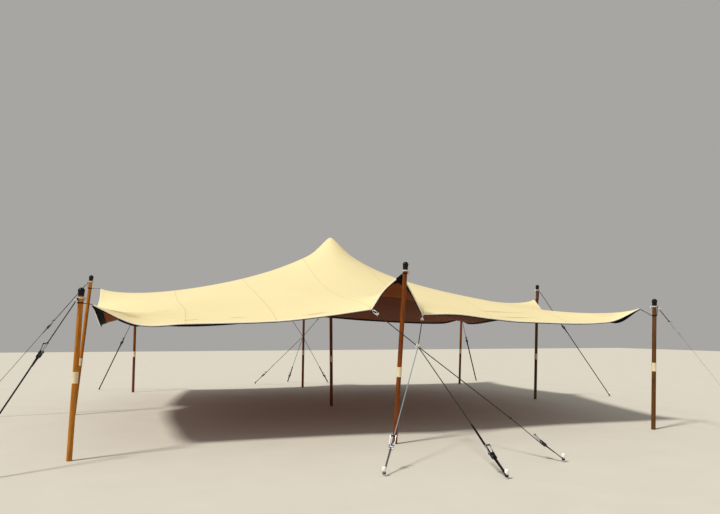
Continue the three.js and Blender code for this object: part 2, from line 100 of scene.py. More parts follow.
def gridPart(points, wrapAcross=True, wrapAlong=False, caps=True, uv=None, finish=0):
    # A grid of points, rows along by columns across: each face joins four neighbours, a wrapped
    # direction closes on itself, and caps close the first and last rows. The UV runs in metres.
    rows, columns = points.shape[:2]
    r, c = np.meshgrid(
        np.arange(rows if wrapAlong else rows - 1),
        np.arange(columns if wrapAcross else columns - 1), indexing="ij")
    quads = np.stack([
        r * columns + c, r * columns + (c + 1) % columns,
        (r + 1) % rows * columns + (c + 1) % columns, (r + 1) % rows * columns + c], -1).reshape(-1, 4)
    if uv is None:
        across = np.linalg.norm(np.diff(points, axis=1, append=points[:, :1]), axis=2).mean(0)
        along = np.linalg.norm(np.diff(points, axis=0, append=points[:1]), axis=2).mean(1)
        uv = (np.concatenate([[0], np.cumsum(across)]), np.concatenate([[0], np.cumsum(along)]))
    us, vs = uv
    loops = np.stack([
        np.stack([us[c], vs[r]], -1), np.stack([us[c + 1], vs[r]], -1),
        np.stack([us[c + 1], vs[r + 1]], -1), np.stack([us[c], vs[r + 1]], -1)], -2).reshape(-1, 2)
    ends = []
    if caps and not wrapAlong:
        ends = [np.arange(columns)[::-1], (rows - 1) * columns + np.arange(columns)]
        flat = [np.stack([us[:columns], np.full(columns, vs[k])], -1) for k in (0, rows - 1)]
        loops = np.concatenate([loops, flat[0][::-1], flat[1]])
    return {"points": points.reshape(-1, 3), "quads": quads, "ends": ends, "uv": loops, "finish": finish}


def makePiece(name, parts, finishes, body="tent", replaced=(), sharp=35, outward=True):
    # joins the parts in one mesh, with its place in the mesh and the object at the origin
    points, faces, uvs, finish, base = [], [], [], [], 0
    for part in parts:
        points.append(part["points"])
        here = (part["quads"] + base).tolist() + [(end + base).tolist() for end in part["ends"]]
        faces += here
        finish += np.broadcast_to(part["finish"], len(here)).tolist()
        uvs.append(part["uv"])
        base += len(part["points"])
    mesh = bpy.data.meshes.new(name)
    mesh.from_pydata(np.concatenate(points).tolist(), [], faces)
    layer = mesh.uv_layers.new(name="UVMap")
    layer.data.foreach_set("uv", np.concatenate(uvs).astype(np.float32).ravel())
    mesh.polygons.foreach_set("material_index", finish)
    if outward:
        work = bmesh.new()
        work.from_mesh(mesh)
        bmesh.ops.recalc_face_normals(work, faces=work.faces[:])
        work.to_mesh(mesh)
        work.free()
    mesh.shade_smooth()
    mesh.set_sharp_from_angle(angle=math.radians(sharp))
    for material in finishes:
        mesh.materials.append(material)
    piece = bpy.data.objects.new(name, mesh)
    bpy.context.scene.collection.objects.link(piece)
    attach(piece, body)
    if replaced:
        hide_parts(*replaced)
    return piece


def carried(path, side, out, outline, closed=False, finish=0):
    # an outline of (side, out) points set at each point of a path
    outline = np.asarray(outline, float)
    points = path[:, None] + outline[None, :, :1] * side[:, None] + outline[None, :, 1:] * out[:, None]
    return gridPart(points, wrapAlong=closed, finish=finish)


def sweep(path, outline, upHint=upward, closed=False, finish=0):
    # an outline carried along a path, with its side level across the path and its out square to both
    path = np.asarray(path, float)
    if closed:
        tangent = unit(np.roll(path, -1, 0) - np.roll(path, 1, 0))
    else:
        tangent = unit(np.gradient(path, axis=0))
    side = unit(np.cross(tangent, upHint))
    return carried(path, side, np.cross(side, tangent), outline, closed, finish)


def circle(radius, sides=12):
    # points at equal angles round a middle, at one radius or at a radius each
    angle = np.linspace(0, 2 * pi, sides, endpoint=False)
    return np.stack([radius * np.cos(angle), radius * np.sin(angle)], -1)


def flatBand(width, thickness, sides=4):
    # a rectangle with rounded ends, for webbing
    angle = np.linspace(0, pi, sides + 1) - pi / 2
    half = thickness / 2
    end = np.stack([width / 2 - half + half * np.cos(angle), half * np.sin(angle)], -1)
    return np.concatenate([end, -end])


def around(angle, first, second):
    # points on a unit circle in the plane of two directions, by the angle from the first
    return np.cos(angle)[:, None] * first + np.sin(angle)[:, None] * second


def squareTo(axis):
    # two directions square to an axis and to each other
    side = unit(np.cross(axis, [0.0, 1.0, 0.0] if abs(axis[1]) < 0.9 else [1.0, 0.0, 0.0]))
    return side, np.cross(axis, side)


def turned(profile, low, axis, sides=48, finish=0, wave=None, closed=False):
    # A profile of (radius, height) turned round an axis from the point low. A closed one is a ring
    # whose last row joins its first. A wave adds to the radius by height and angle.
    profile = np.asarray(profile, float)
    axis = unit(axis)
    angle = np.linspace(0, 2 * pi, sides, endpoint=False)
    ring = around(angle, *squareTo(axis))
    radius = np.repeat(profile[:, :1], sides, 1)
    if wave is not None:
        radius = radius + wave(profile[:, 1:2], angle[None, :])
    points = np.asarray(low) + profile[:, 1, None, None] * axis + radius[..., None] * ring
    return gridPart(points, wrapAlong=closed, finish=finish)


def onGround(part, axis, columns):
    # slides the first row of a turned part along its axis down to the ground
    first = part["points"][:columns]
    part["points"][:columns] = first - axis / axis[2] * first[:, 2:3]
    return part


def straight(start, end, count=2):
    # points spaced evenly from start to end
    t = np.linspace(0, 1, count)[:, None]
    return np.asarray(start) * (1 - t) + np.asarray(end) * t


def localFrame(origin, direction):
    # x runs along the direction, y lies level across it and z stands out of it
    along = unit(direction)
    across = unit(np.cross(upward, along))
    return np.asarray(origin, float), np.stack([along, across, np.cross(along, across)])


def moved(part, place):
    origin, axes = place
    part["points"] = origin + part["points"] @ axes
    return part


# Finishes

colourMix = {"data_type": "RGBA"}
ribbed = {"wave_type": "BANDS", "bands_direction": "DIAGONAL"}
knitFaces = {
    "outer": {"shader": {"Roughness": 0.7, "Specular IOR Level": 0.25}, "bump": 0.25,
              "blotch": {"Scale": 0.7, "Detail": 4, "Roughness": 0.6}},
    # the inner face's brown is painted shade, for the shade under the canopy warmed by light through the knit
    "inner": {"shader": {"Base Color": hexColour("80481F"), "Roughness": 0.85, "Specular IOR Level": 0.2},
              "bump": 0.2, "blotch": {"Scale": 0.9, "Detail": 3}},
}
stripsPerMetre = 0.7
# the colour of the painted shade beside the pinched folds
foldShadeColour = "B89A60"


def finished(made, tone, height, strength, depth):
    # ends a finish: the tone goes to the colour, and the height to bumps of a depth in metres
    material, tree, shader = made
    bump = addNode(tree, "ShaderNodeBump", inputs={"Strength": strength, "Distance": depth},
                   links=[("Height", *height)])
    tree.links.new(tone.outputs[2], shader.inputs["Base Color"])
    tree.links.new(bump.outputs["Normal"], shader.inputs["Normal"])
    return material


def fabricFinish(name, dark, light, seamColour=None, face="outer"):
    # Warp knit with an elastic face, matt and even, with slow blotches from folding. The outer face is
    # coated. The inner one is uncoated, so it is softer, and its dark brown is painted shade: the shade
    # under the canopy, warmed by light through the knit.
    looks = knitFaces[face]
    made = newMaterial(name, {"Base Color": hexColour(light), **looks["shader"]})
    tree = made[1]
    uv = addNode(tree, "ShaderNodeUVMap", {"uv_map": "UVMap"})
    blotch = addNode(tree, "ShaderNodeTexNoise", inputs=looks["blotch"], links=[("Vector", uv, "UV")])
    tone = addNode(tree, "ShaderNodeMix", colourMix, {6: hexColour(dark), 7: hexColour(light)},
                   [("Factor", blotch, "Fac")])
    if seamColour:
        # a faint line on each seam, by the distance from it in strip widths
        axes = addNode(tree, "ShaderNodeSeparateXYZ", links=[("Vector", uv, "UV")])
        strip = addNode(tree, "ShaderNodeMath", {"operation": "MULTIPLY"}, {1: stripsPerMetre},
                        [(0, axes, "X")])
        across = addNode(tree, "ShaderNodeMath", {"operation": "FRACT"}, links=[(0, strip, 0)])
        fromSeam = addNode(tree, "ShaderNodeMath", {"operation": "PINGPONG"}, {1: 0.5}, [(0, across, 0)])
        share = addNode(tree, "ShaderNodeMapRange",
                        inputs={"From Min": 0.003, "From Max": 0.009, "To Min": 0.45, "To Max": 0},
                        links=[("Value", fromSeam, 0)])
        tone = addNode(tree, "ShaderNodeMix", colourMix, {7: hexColour(seamColour)},
                       [("Factor", share, 0), (6, tone, 2)])
    # knit ribs, drawn 7 mm apart so that they show at all
    knit =addNode(tree, "ShaderNodeTexWave", ribbed, {"Scale": 62, "Distortion": 1.2, "Detail": 2},
                   [("Vector", uv, "UV")])
    height = (knit, "Fac")
    if face == "outer":
        # a coating grain of 6 mm over the ribs, and painted shade beside the pinched folds, a darker tone on
        # one side of each crest
        grain = addNode(tree, "ShaderNodeTexNoise", inputs={"Scale": 160, "Detail": 2},
                        links=[("Vector", uv, "UV")])
        height = (addNode(tree, "ShaderNodeMath", {"operation": "ADD"}, {},
                          [(0, knit, "Fac"), (1, grain, "Fac")]), 0)
        # painted shade: this attribute darkens the tone on one side of each pinched crest
        foldShade = addNode(tree, "ShaderNodeAttribute", {"attribute_name": "foldShade"})
        share = addNode(tree, "ShaderNodeMath", {"operation": "MULTIPLY"}, {1: 0.75}, [(0, foldShade, "Fac")])
        tone = addNode(tree, "ShaderNodeMix", colourMix, {7: hexColour(foldShadeColour)},
                       [("Factor", share, 0), (6, tone, 2)])
    return finished(made, tone, height, looks["bump"], 0.0006)


def evenFinish(name, dark, light, texture, bump, values, place="UV", plain=None):
    # A finish whose tone and bumps follow one pattern, dark in its valleys and light on its tops. On the
    # webbing's ribs this is painted sheen on their tops, on the rope's strands painted shade between them,
    # and on a mottled skin random tone. The texture is a kind of node with its settings and inputs, and the
    # bump is a strength and a depth. The plain colour, the light one unless it is given, stands for the
    # pattern where no nodes are drawn.
    made = newMaterial(name, {"Base Color": hexColour(plain or light), **values})
    tree = made[1]
    if place == "UV":
        source = addNode(tree, "ShaderNodeUVMap", {"uv_map": "UVMap"})
    else:
        source = addNode(tree, "ShaderNodeTexCoord")
    pattern = addNode(tree, *texture, [("Vector", source, place)])
    tone = addNode(tree, "ShaderNodeMix", colourMix, {6: hexColour(dark), 7: hexColour(light)},
                   [("Factor", pattern, "Fac")])
    return finished(made, tone, (pattern, "Fac"), *bump)


def mottledFinish(name, dark, light, grain, values, depth=0.0004):
    # a moulded, cast or plated skin: two close tones and bumps, with so many grains to the metre
    texture = ("ShaderNodeTexNoise", {}, {"Scale": grain, "Detail": 4, "Roughness": 0.6})
    return evenFinish(name, dark, light, texture, (0.3, depth), values, "Object")


def woodFinish(name, dark, middle, light):
    # Turned eucalyptus under amber varnish, with dark knots and a thin clear coat. The grain's streaks are
    # drawn 20 mm wide and 350 mm long, so that they show.
    made = newMaterial(name, {
        "Base Color": hexColour(middle), "Roughness": 0.45, "Specular IOR Level": 0.15,
        "Coat Weight": 0.06, "Coat Roughness": 0.2})
    tree = made[1]
    place = addNode(tree, "ShaderNodeTexCoord")
    stretch = addNode(tree, "ShaderNodeMapping", inputs={"Scale": (22, 22, 1.3)},
                      links=[("Vector", place, "Object")])
    grain = addNode(tree, "ShaderNodeTexNoise",
                    inputs={"Scale": 2.2, "Detail": 7, "Roughness": 0.62, "Distortion": 0.8},
                    links=[("Vector", stretch, "Vector")])
    tone = addNode(tree, "ShaderNodeValToRGB", links=[("Fac", grain, "Fac")])
    stops = tone.color_ramp.elements
    stops[0].position, stops[0].color = 0.3, hexColour(dark)
    stops[1].position, stops[1].color = 0.68, hexColour(light)
    stops.new(0.5).color = hexColour(middle)
    spots = addNode(tree, "ShaderNodeTexVoronoi", inputs={"Scale": 3.1, "Randomness": 1},
                    links=[("Vector", place, "Object")])
    share = addNode(tree, "ShaderNodeMapRange",
                    inputs={"From Min": 0.04, "From Max": 0.1, "To Min": 0.75, "To Max": 0},
                    links=[("Value", spots, "Distance")])
    knotted = addNode(tree, "ShaderNodeMix", colourMix, {7: hexColour("4A2407")},
                      [("Factor", share, 0), (6, tone, 0)])
    return finished(made, knotted, (grain, "Fac"), 0.25, 0.0015)


sandKnit = fabricFinish("coatedStretchKnitSand", "EDDDAA", "F4E7B7", "CDB57E")
# the rolled edge is a lighter cream than the sheet: painted highlight, so that the rim shows as a bright line
highlightRolledKnit = fabricFinish("rolledStretchKnitPaintedHighlight", "FFF4D8", "FFFBEA")
# the underside's dark brown is painted shade under the canopy
shadedUndersideKnit = fabricFinish("stretchKnitBrownPaintedShade", "733C1A", "8F4C22", "4F2811", "inner")
# woven polypropylene webbing: cross ribs every 2.5 mm, dull, with painted sheen on the rib tops, a lighter
# tone over the weave's own dark colour
webbingLook = {
    "texture": ("ShaderNodeTexWave", {"wave_type": "BANDS", "bands_direction": "Y"},
                {"Scale": 125, "Distortion": 0.6, "Detail": 1}),
    "bump": (0.5, 0.0008), "values": {"Roughness": 0.75, "Specular IOR Level": 0.12},
}
blackWebbing = evenFinish("wovenWebbingBlack", "0A0A0C", "1A1A1D", **webbingLook, plain="0A0A0C")
greyWebbing = evenFinish("wovenWebbingGrey", "3A3936", "6A6862", **webbingLook, plain="3A3936")
# laid polyester rope: strands 10 mm wide run slantwise round it, so the bands are slanted on the UV, and the
# darker tone between the strands is painted shade
ropeLook = {
    "texture": ("ShaderNodeTexWave", ribbed, {"Scale": 45, "Distortion": 0.4, "Detail": 1}),
    "bump": (0.7, 0.002), "values": {"Roughness": 0.75, "Specular IOR Level": 0.35},
}
darkRope = evenFinish("laidRopeDark", "0F0D0B", "302B25", **ropeLook)
paleRope = evenFinish("laidRopePale", "B9B6AE", "F4F2EA", **ropeLook)
blueRope = evenFinish("laidRopeBlueGrey", "6A7480", "A8B4C0", **ropeLook)
varnishedWood = woodFinish("varnishedEucalyptus", "522703", "753805", "914C09")
# a paler copy of the wood, painted light, and a darker, greyer copy, painted shade, for the poles on the
# sunlit side and on the shaded side
sunlitWood = woodFinish("varnishedEucalyptusPaintedLight", "90520E", "B16D1A", "C88830")
shadedWood = woodFinish("varnishedEucalyptusPaintedShade", "472B12", "603D1B", "7A5028")
# moulded natural rubber: near black with a faint, soft shine
mouldedRubber = mottledFinish("mouldedRubber", "08090B", "15171B", 60,
                              {"Roughness": 0.32, "Specular IOR Level": 0.18})
# zinc plated pressed steel: bright and slightly clouded
zincSteel = mottledFinish("zincPlatedSteel", "B4B8BE", "E2E5EA", 25, {"Metallic": 1.0, "Roughness": 0.36})
# powder coated pressed steel: black and satin
blackSteel = mottledFinish("powderCoatedSteel", "141416", "26262A", 400, {"Roughness": 0.48})
# moulded polyethylene safety caps, off white
whitePlastic = mottledFinish("mouldedPolyethylene", "EDEBE4", "FFFFFF", 40, {"Roughness": 0.5})
# canvas cuff wrapped and glued on the shaft, pale cream
creamCuff = mottledFinish("canvasCuff", "D8C49A", "F2E6C6", 220, {"Roughness": 0.85}, 0.0008)
print("finishes made")


# Canopy: one square of elastic fabric, welded from seven strips that run front to back

canopy = {
    "strips": 7, "stepsPerStrip": 4, "finePerStep": 6, "side": 10.0, "thickness": 0.0035,
    # the centre pole's patch, then how taut and how wide the lines to the side tips and corners are
    "peak": (-0.05, 0.0, 3.93), "patchRadius": 0.45, "patchSlope": 1.07, "patchRounding": 0.06,
    "leftTaut": 5.0, "rightTaut": 1.8, "sideWidth": 0.9, "cornerTaut": 4.3, "cornerWidth": 0.8,
    "rounds": 900, "gain": 1.94, "easingWidth": 0.22, "easingRounds": 14,
    # runs of grid lines: first step, last step, cells
    "runs": ((0, 4, 42), (4, 12, 36), (12, 14, 18), (14, 16, 18), (16, 24, 36), (24, 28, 42)),
    "seamHalf": 0.055, "hemWidth": 0.14, "raise": 0.0014, "seamRaise": 0.0006,
    "tipPatch": 0.13, "tipPatchDepth": 0.1, "rollRadius": 0.0105, "rollSides": 12,
    "pipingDrop": 0.032, "pipingWidth": 0.009, "bandWidth": 0.095, "bandThickness": 0.0015,
}
steps = canopy["strips"] * canopy["stepsPerStrip"]
fine = steps * canopy["finePerStep"]
stepSize = canopy["side"] / steps
# each hem lists (step along that side, x, y, z), and turns a true corner at both ends and at the feet and
# the tip of its raised middle
hemCorners = (0, 12, 14, 16, steps)
frontHem = [
    (0, -4.48, -4.5, 2.06), (2, -3.88, -4.42, 1.79), (4, -3.23, -4.39, 1.805), (8, -1.89, -4.4, 1.85),
    (10, -1.18, -4.48, 1.93), (12, -0.44, -4.62, 2.04), (13, -0.25, -4.68, 2.34), (14, 0.04, -4.71, 2.59),
    (15, 0.25, -4.67, 2.27), (16, 0.43, -4.62, 1.97), (18, 1.08, -4.53, 1.98), (20, 1.76, -4.43, 1.915),
    (22, 2.45, -4.39, 1.865), (26, 4.09, -4.42, 1.87), (28, 4.72, -4.5, 2.11)]
rightHem = [
    (0, 4.72, -4.5, 2.11), (2, 4.75, -3.9, 1.88), (4, 4.8, -3.2, 1.99), (8, 5.08, -1.8, 2.06),
    (12, 5.39, -0.45, 2.17), (13, 5.37, -0.25, 2.37), (14, 5.4, 0, 2.53), (15, 5.37, 0.25, 2.37),
    (16, 5.39, 0.45, 2.17), (20, 5.28, 1.9, 2.04), (26, 5.31, 3.6, 1.98), (28, 5.4, 4.4, 2.15)]
backHem = [
    (0, -4.6, 4.4, 2.1), (2, -4.0, 4.33, 1.9), (8, -1.98, 4.3, 1.95), (12, -0.3, 4.55, 2.2),
    (13, -0.06, 4.6, 2.42), (14, 0.2, 4.62, 2.59), (15, 0.44, 4.6, 2.42), (16, 0.68, 4.55, 2.2),
    (20, 2.15, 4.33, 2.08), (26, 4.65, 4.33, 2.0), (28, 5.4, 4.4, 2.15)]
leftHem = [
    (0, -4.48, -4.5, 2.06), (2, -4.47, -3.88, 1.8), (4, -4.56, -3.15, 1.81), (8, -4.79, -1.8, 1.9),
    (12, -5.03, -0.45, 2.15), (13, -5.01, -0.25, 2.4), (14, -5.04, 0, 2.6), (15, -5.01, 0.25, 2.4),
    (16, -5.03, 0.45, 2.15), (20, -4.8, 1.9, 1.95), (26, -4.56, 3.7, 1.88), (28, -4.6, 4.4, 2.1)]


def hemCurve(hem, at):
    # cubic pieces through the points of a hem, with the slope at a point taken from its neighbours up to
    # the next corner
    hem = np.array(hem, float)
    line = np.zeros((len(at), 3))
    for first, last in zip(hemCorners, hemCorners[1:]):
        run = hem[(hem[:, 0] >= first) & (hem[:, 0] <= last)]
        knots, places = run[:, 0], run[:, 1:]
        inside = (at >= first) & (at <= last)
        s = at[inside]
        k = np.clip(np.searchsorted(knots, s, side="right") - 1, 0, len(knots) - 2)
        before, after = np.maximum(k - 1, 0), np.minimum(k + 2, len(knots) - 1)
        span = (knots[k + 1] - knots[k])[:, None]
        t = (s - knots[k])[:, None] / span
        slopeA = (places[k + 1] - places[before]) / (knots[k + 1] - knots[before])[:, None] * span
        slopeB = (places[after] - places[k]) / (knots[after] - knots[k])[:, None] * span
        line[inside] = ((2 * t ** 3 - 3 * t ** 2 + 1) * places[k] + (t ** 3 - 2 * t ** 2 + t) * slopeA
                        + (3 * t ** 2 - 2 * t ** 3) * places[k + 1] + (t ** 3 - t ** 2) * slopeB)
    return line


def relaxedNet():
    # Every inner point settles at the weighted mean of its eight neighbours, with the hem and the patch
    # over the centre pole held. The weights are heavier along the lines that are pulled taut.
    at = np.arange(fine + 1) / canopy["finePerStep"]
    net = np.zeros((3, fine + 1, fine + 1))
    net[:, 0, :] = hemCurve(frontHem, at).T
    net[:, -1, :] = hemCurve(backHem, at).T
    net[:, :, 0] = hemCurve(leftHem, at).T
    net[:, :, -1] = hemCurve(rightHem, at).T
    # it starts as a surface blended between the four hems
    u = np.linspace(0, 1, fine + 1)[None, :]
    v = np.linspace(0, 1, fine + 1)[:, None]
    for plane in net:
        sides = (1 - v) * plane[:1] + v * plane[-1:] + (1 - u) * plane[:, :1] + u * plane[:, -1:]
        corners = ((1 - u) * (1 - v) * plane[0, 0] + u * (1 - v) * plane[0, -1]
                   + (1 - u) * v * plane[-1, 0] + u * v * plane[-1, -1])
        plane[1:-1, 1:-1] = (sides - corners)[1:-1, 1:-1]
    # the patch is a cone with a rounded top
    fromMiddle = np.arange(fine + 1) - fine / 2
    back, right = np.meshgrid(fromMiddle, fromMiddle, indexing="ij")
    cell = canopy["side"] / fine
    away = np.hypot(right, back) * cell
    patch = away <= canopy["patchRadius"]
    peak, rounding = canopy["peak"], canopy["patchRounding"]
    fall = canopy["patchSlope"] * (np.hypot(away, rounding) - rounding)
    net[:, patch] = np.stack([peak[0] + right * cell, peak[1] + back * cell, peak[2] - fall])[:, patch]
    # pull along, across and on both diagonals, by steps su to the right of the middle and sv behind it
    su, sv = right / canopy["finePerStep"], back / canopy["finePerStep"]
    outwards = np.maximum(abs(su), abs(sv)) / (steps / 2)
    taut = np.where(su < 0, canopy["leftTaut"], canopy["rightTaut"])
    along = 1 + taut * np.exp(-(sv / canopy["sideWidth"]) ** 2)
    corner = canopy["cornerTaut"] * outwards ** 2
    rising = corner * np.exp(-((su - sv) / canopy["cornerWidth"]) ** 2)
    falling = corner * np.exp(-((su + sv) / canopy["cornerWidth"]) ** 2)
    total = 2 * (along + 1 + rising + falling)
    shares = {(0, 1): along / total, (1, 0): 1 / total, (1, 1): rising / total, (1, -1): falling / total}
    free = canopy["gain"] * ~patch
    for _ in range(canopy["rounds"]):
        # every second point of every second row moves at a time, so that its neighbours stand still
        for firstI, firstJ in ((1, 1), (2, 1), (1, 2), (2, 2)):
            def part(dj, di):
                return (..., slice(firstJ + dj, fine + dj, 2), slice(firstI + di, fine + di, 2))
            here = part(0, 0)
            mean = sum(share[here] * (net[part(-dj, -di)] + net[part(dj, di)])
                       for (dj, di), share in shares.items())
            net[here] += free[here] * (mean - net[here])
    # the rim of the patch is eased, so that the cone runs into the slopes without a kink
    easing = np.exp(-((away - canopy["patchRadius"]) / canopy["easingWidth"]) ** 2)[1:-1, 1:-1] * 0.5
    for _ in range(canopy["easingRounds"]):
        mean = (net[:, :-2, 1:-1] + net[:, 2:, 1:-1] + net[:, 1:-1, :-2] + net[:, 1:-1, 2:]) / 4
        net[:, 1:-1, 1:-1] += easing * (mean - net[:, 1:-1, 1:-1])
    return net


def between(at):
    # weights of the net's lines for a smooth cubic between them, one row for each place asked for
    x = np.clip(np.asarray(at, float) * canopy["finePerStep"], 0, fine - tiny)
    k = np.floor(x).astype(int)
    t = x - k
    shares = [(-t + 2 * t ** 2 - t ** 3) / 2, (2 - 5 * t ** 2 + 3 * t ** 3) / 2,
              (t + 4 * t ** 2 - 3 * t ** 3) / 2, (t ** 3 - t ** 2) / 2]
    weights = np.zeros((len(x), fine + 1))
    for n, share in enumerate(shares):
        np.add.at(weights, (np.arange(len(x)), np.clip(k - 1 + n, 0, fine)), share)
    return weights


fabricNet = relaxedNet()


def fabricAt(us, vs):
    # the net at steps us along the front and vs towards the back, as rows by columns of points
    return np.stack([between(vs) @ plane @ between(us).T for plane in fabricNet], -1)


def pinchedFolds():
    # u and v of both ends in metres, height and half width: two that run out of each corner, and the
    # short ones beside the front and back hems
    side = canopy["side"]
    corner = [(0.1, 0.11, 0.76, 0.38, 0.009, 0.03), (0.4, 0.15, 0.74, 0.26, 0.006, 0.022)]
    hem = [(0.86, 1.57, 1.18, 1.05, 0.004, 0.04), (1.38, 0.21, 1.66, 0.29, 0.005, 0.028),
           (2.1, 0.35, 2.42, 0.31, 0.005, 0.028), (3.3, 0.16, 3.7, 0.19, 0.005, 0.028),
           (7.3, 0.2, 8.2, 0.38, 0.005, 0.03), (6.9, 0.62, 8.1, 0.8, 0.004, 0.035)]
    folds = [(abs(farU - u0), abs(farV - v0), abs(farU - u1), abs(farV - v1), high, wide)
             for farU in (0, side) for farV in (0, side) for u0, v0, u1, v1, high, wide in corner]
    return folds + hem + [(u0, side - v0, u1, side - v1, high, wide) for u0, v0, u1, v1, high, wide in hem]


def creases(u, v):
    # Low folds in metres over fabric coordinates u, v in metres from the front left corner. Each tip has
    # a fan: a cosine of the angle round the tip, strongest a short way in and fading out beyond it.
    side = canopy["side"]
    fans = [  # u, v, angle of the middle, number of folds a turn, reach, height, spread
        (0, 0, 45, 26, 0.8, 0.008, 0.75), (side, 0, 135, 24, 0.8, 0.008, 0.75),
        (side, side, 225, 26, 0.8, 0.008, 0.75), (0, side, 315, 24, 0.8, 0.008, 0.75),
        (side / 2, 0, 90, 22, 0.55, 0.005, 1.2), (side / 2, side, 270, 22, 0.55, 0.005, 1.2),
        (0, side / 2, 0, 22, 0.55, 0.005, 1.2), (side, side / 2, 180, 22, 0.55, 0.005, 1.2)]
    height = np.zeros(np.broadcast(u, v).shape)
    for u0, v0, middle, folds, reach, high, spread in fans:
        away = np.hypot(u - u0, v - v0)
        angle = np.arctan2(v - v0, u - u0) - math.radians(middle)
        angle = (angle + pi) % (2 * pi) - pi
        swell = (away / reach) * np.exp(1 - (away / reach) ** 1.5)
        ripple = np.cos(folds * angle + 0.6 * np.sin(3 * angle))
        height += high * swell * np.exp(-(angle / spread) ** 2) * ripple
    # slack folds 0.19 m apart beside the front hem of both wings, with sharp crests and round valleys:
    # one less twice the size of a sine of half the angle
    for middle, wide, lean, phase in ((1.7, 1.0, 0.16, 0.4), (3.9, 0.7, -0.06, 2.2), (7.4, 1.3, -0.1, 1.7)):
        near = np.exp(-((v - 0.46) / 0.26) ** 2) * np.exp(-((u - middle) / wide) ** 2)
        turnedBy = 2 * pi * (v - lean * (u - middle)) / 0.19 + phase
        height += 0.006 * near * (1 - 2 * abs(np.sin(turnedBy / 2)))
    # pinched folds: a bell across a line in the fabric, fading at both ends, with painted shade lying beside
    # it on one side of the crest
    foldShade = np.zeros(height.shape)
    for u0, v0, u1, v1, high, wide in pinchedFolds():
        length = math.hypot(u1 - u0, v1 - v0)
        share = ((u - u0) * (u1 - u0) + (v - v0) * (v1 - v0)) / length ** 2
        off = ((u - u0) * (v1 - v0) - (v - v0) * (u1 - u0)) / length
        fade = np.sin(pi * np.clip(share, 0, 1)) ** 0.7
        height += high * fade * np.exp(-(off / wide) ** 2)
        foldShade = np.maximum(foldShade, fade * np.exp(-((off - wide) / (0.7 * wide)) ** 2))
    # nothing moves at the hem itself, where the webbing holds it
    edge = np.minimum(np.minimum(u, side - u), np.minimum(v, side - v))
    return height * np.clip(edge / 0.18, 0, 1) ** 1.5, foldShade


def fabricLines(seams):
    # closer lines where the folds fan out, with pairs at the hem's inner edge and on both sides of a seam
    hem = canopy["hemWidth"]
    lines = [hem - 0.01, hem + 0.01, steps - hem - 0.01, steps - hem + 0.01]
    for start, end, cells in canopy["runs"]:
        lines += list(np.linspace(start, end, cells + 1))
    for k in range(1, canopy["strips"]) if seams else ():
        middle = k * canopy["stepsPerStrip"]
        lines += [middle + side * (canopy["seamHalf"] + more) for side in (-1, 1) for more in (0, 0.02)]
    return np.unique(np.round(lines, 5))


def raisedBy(us, vs):
    # doubled fabric along the hem, under each seam's overlap and in the round patch over the pole
    u, v = us[None, :], vs[:, None]
    hem = canopy["hemWidth"]
    edge = np.minimum(np.minimum(u, steps - u), np.minimum(v, steps - v))
    seam = abs((u + 2) % canopy["stepsPerStrip"] - 2)
    inside = (u > 1) & (u < steps - 1)
    patch = np.hypot(u - steps / 2, v - steps / 2) * stepSize
    doubled = (edge < hem) | (patch < canopy["patchRadius"])
    joined = (seam <= canopy["seamHalf"] + 0.001) & inside
    return np.where(doubled, canopy["raise"], np.where(joined, canopy["seamRaise"], 0))


def fabricSheet():
    # both faces as grids: the net, moved along its normal by the folds and what is raised, or by the
    # folds less the thickness. The ring lists the points round a grid's edge.
    us, vs = fabricLines(True), fabricLines(False)
    points = fabricAt(us, vs)
    alongU = np.gradient(points, axis=1)
    alongV = np.gradient(points, axis=0)
    normal = unit(np.cross(alongU, alongV))
    lift, foldShade = creases(us[None, :] * stepSize, vs[:, None] * stepSize)
    top = points + normal * (lift + raisedBy(us, vs))[..., None]
    below = points + normal * (lift - canopy["thickness"])[..., None]
    uv = (us * stepSize, vs * stepSize)
    parts = [gridPart(layer, wrapAcross=False, caps=False, uv=uv) for layer in (top, below)]
    rows, columns = top.shape[:2]
    ring = np.concatenate([
        np.arange(columns), np.arange(1, rows) * columns + columns - 1,
        (rows - 1) * columns + np.arange(columns - 1)[::-1], np.arange(1, rows - 1)[::-1] * columns])
    return parts, ring, foldShade.ravel()


def makeCanopy():
    parts, ring, foldShade = fabricSheet()
    count = len(foldShade)
    points = np.concatenate([part["points"] for part in parts])
    after = np.roll(ring, -1)
    rim = np.stack([ring, ring + count, after + count, after], -1)
    # the lower face runs the other way round from the same corner, so that both split on one diagonal
    wayBack = [0, 3, 2, 1]
    faces = np.concatenate([parts[0]["quads"], parts[1]["quads"][:, wayBack] + count, rim])
    rimUv = np.full((len(rim) * 4, 2), 0.01)
    corners = parts[0]["uv"].reshape(-1, 4, 2)
    loops = np.concatenate([parts[0]["uv"], corners[:, wayBack].reshape(-1, 2), rimUv])
    # webbing covers the raised tips of the front and back hems on both faces
    u, v = corners.mean(1).T
    patch = (abs(u - canopy["side"] / 2) < canopy["tipPatch"]) & (
        np.minimum(v, canopy["side"] - v) < canopy["tipPatchDepth"])
    finish = np.concatenate([np.where(patch, 2, 0), np.where(patch, 2, 1), np.zeros(len(rim), int)])
    whole = {"points": points, "quads": faces, "ends": [], "uv": loops, "finish": finish}
    sheet = makePiece("canopy_fabric_sheet", [whole], [sandKnit, shadedUndersideKnit, blackWebbing],
                      replaced=[f"canopy_strip_{n + 1}" for n in range(canopy["strips"])],
                      sharp=70, outward=False)
    # the attribute carries the painted shade beside the pinched folds to the finish
    sheet.data.attributes.new("foldShade", "FLOAT", "POINT").data.foreach_set("value", np.tile(foldShade, 2))
    return sheet


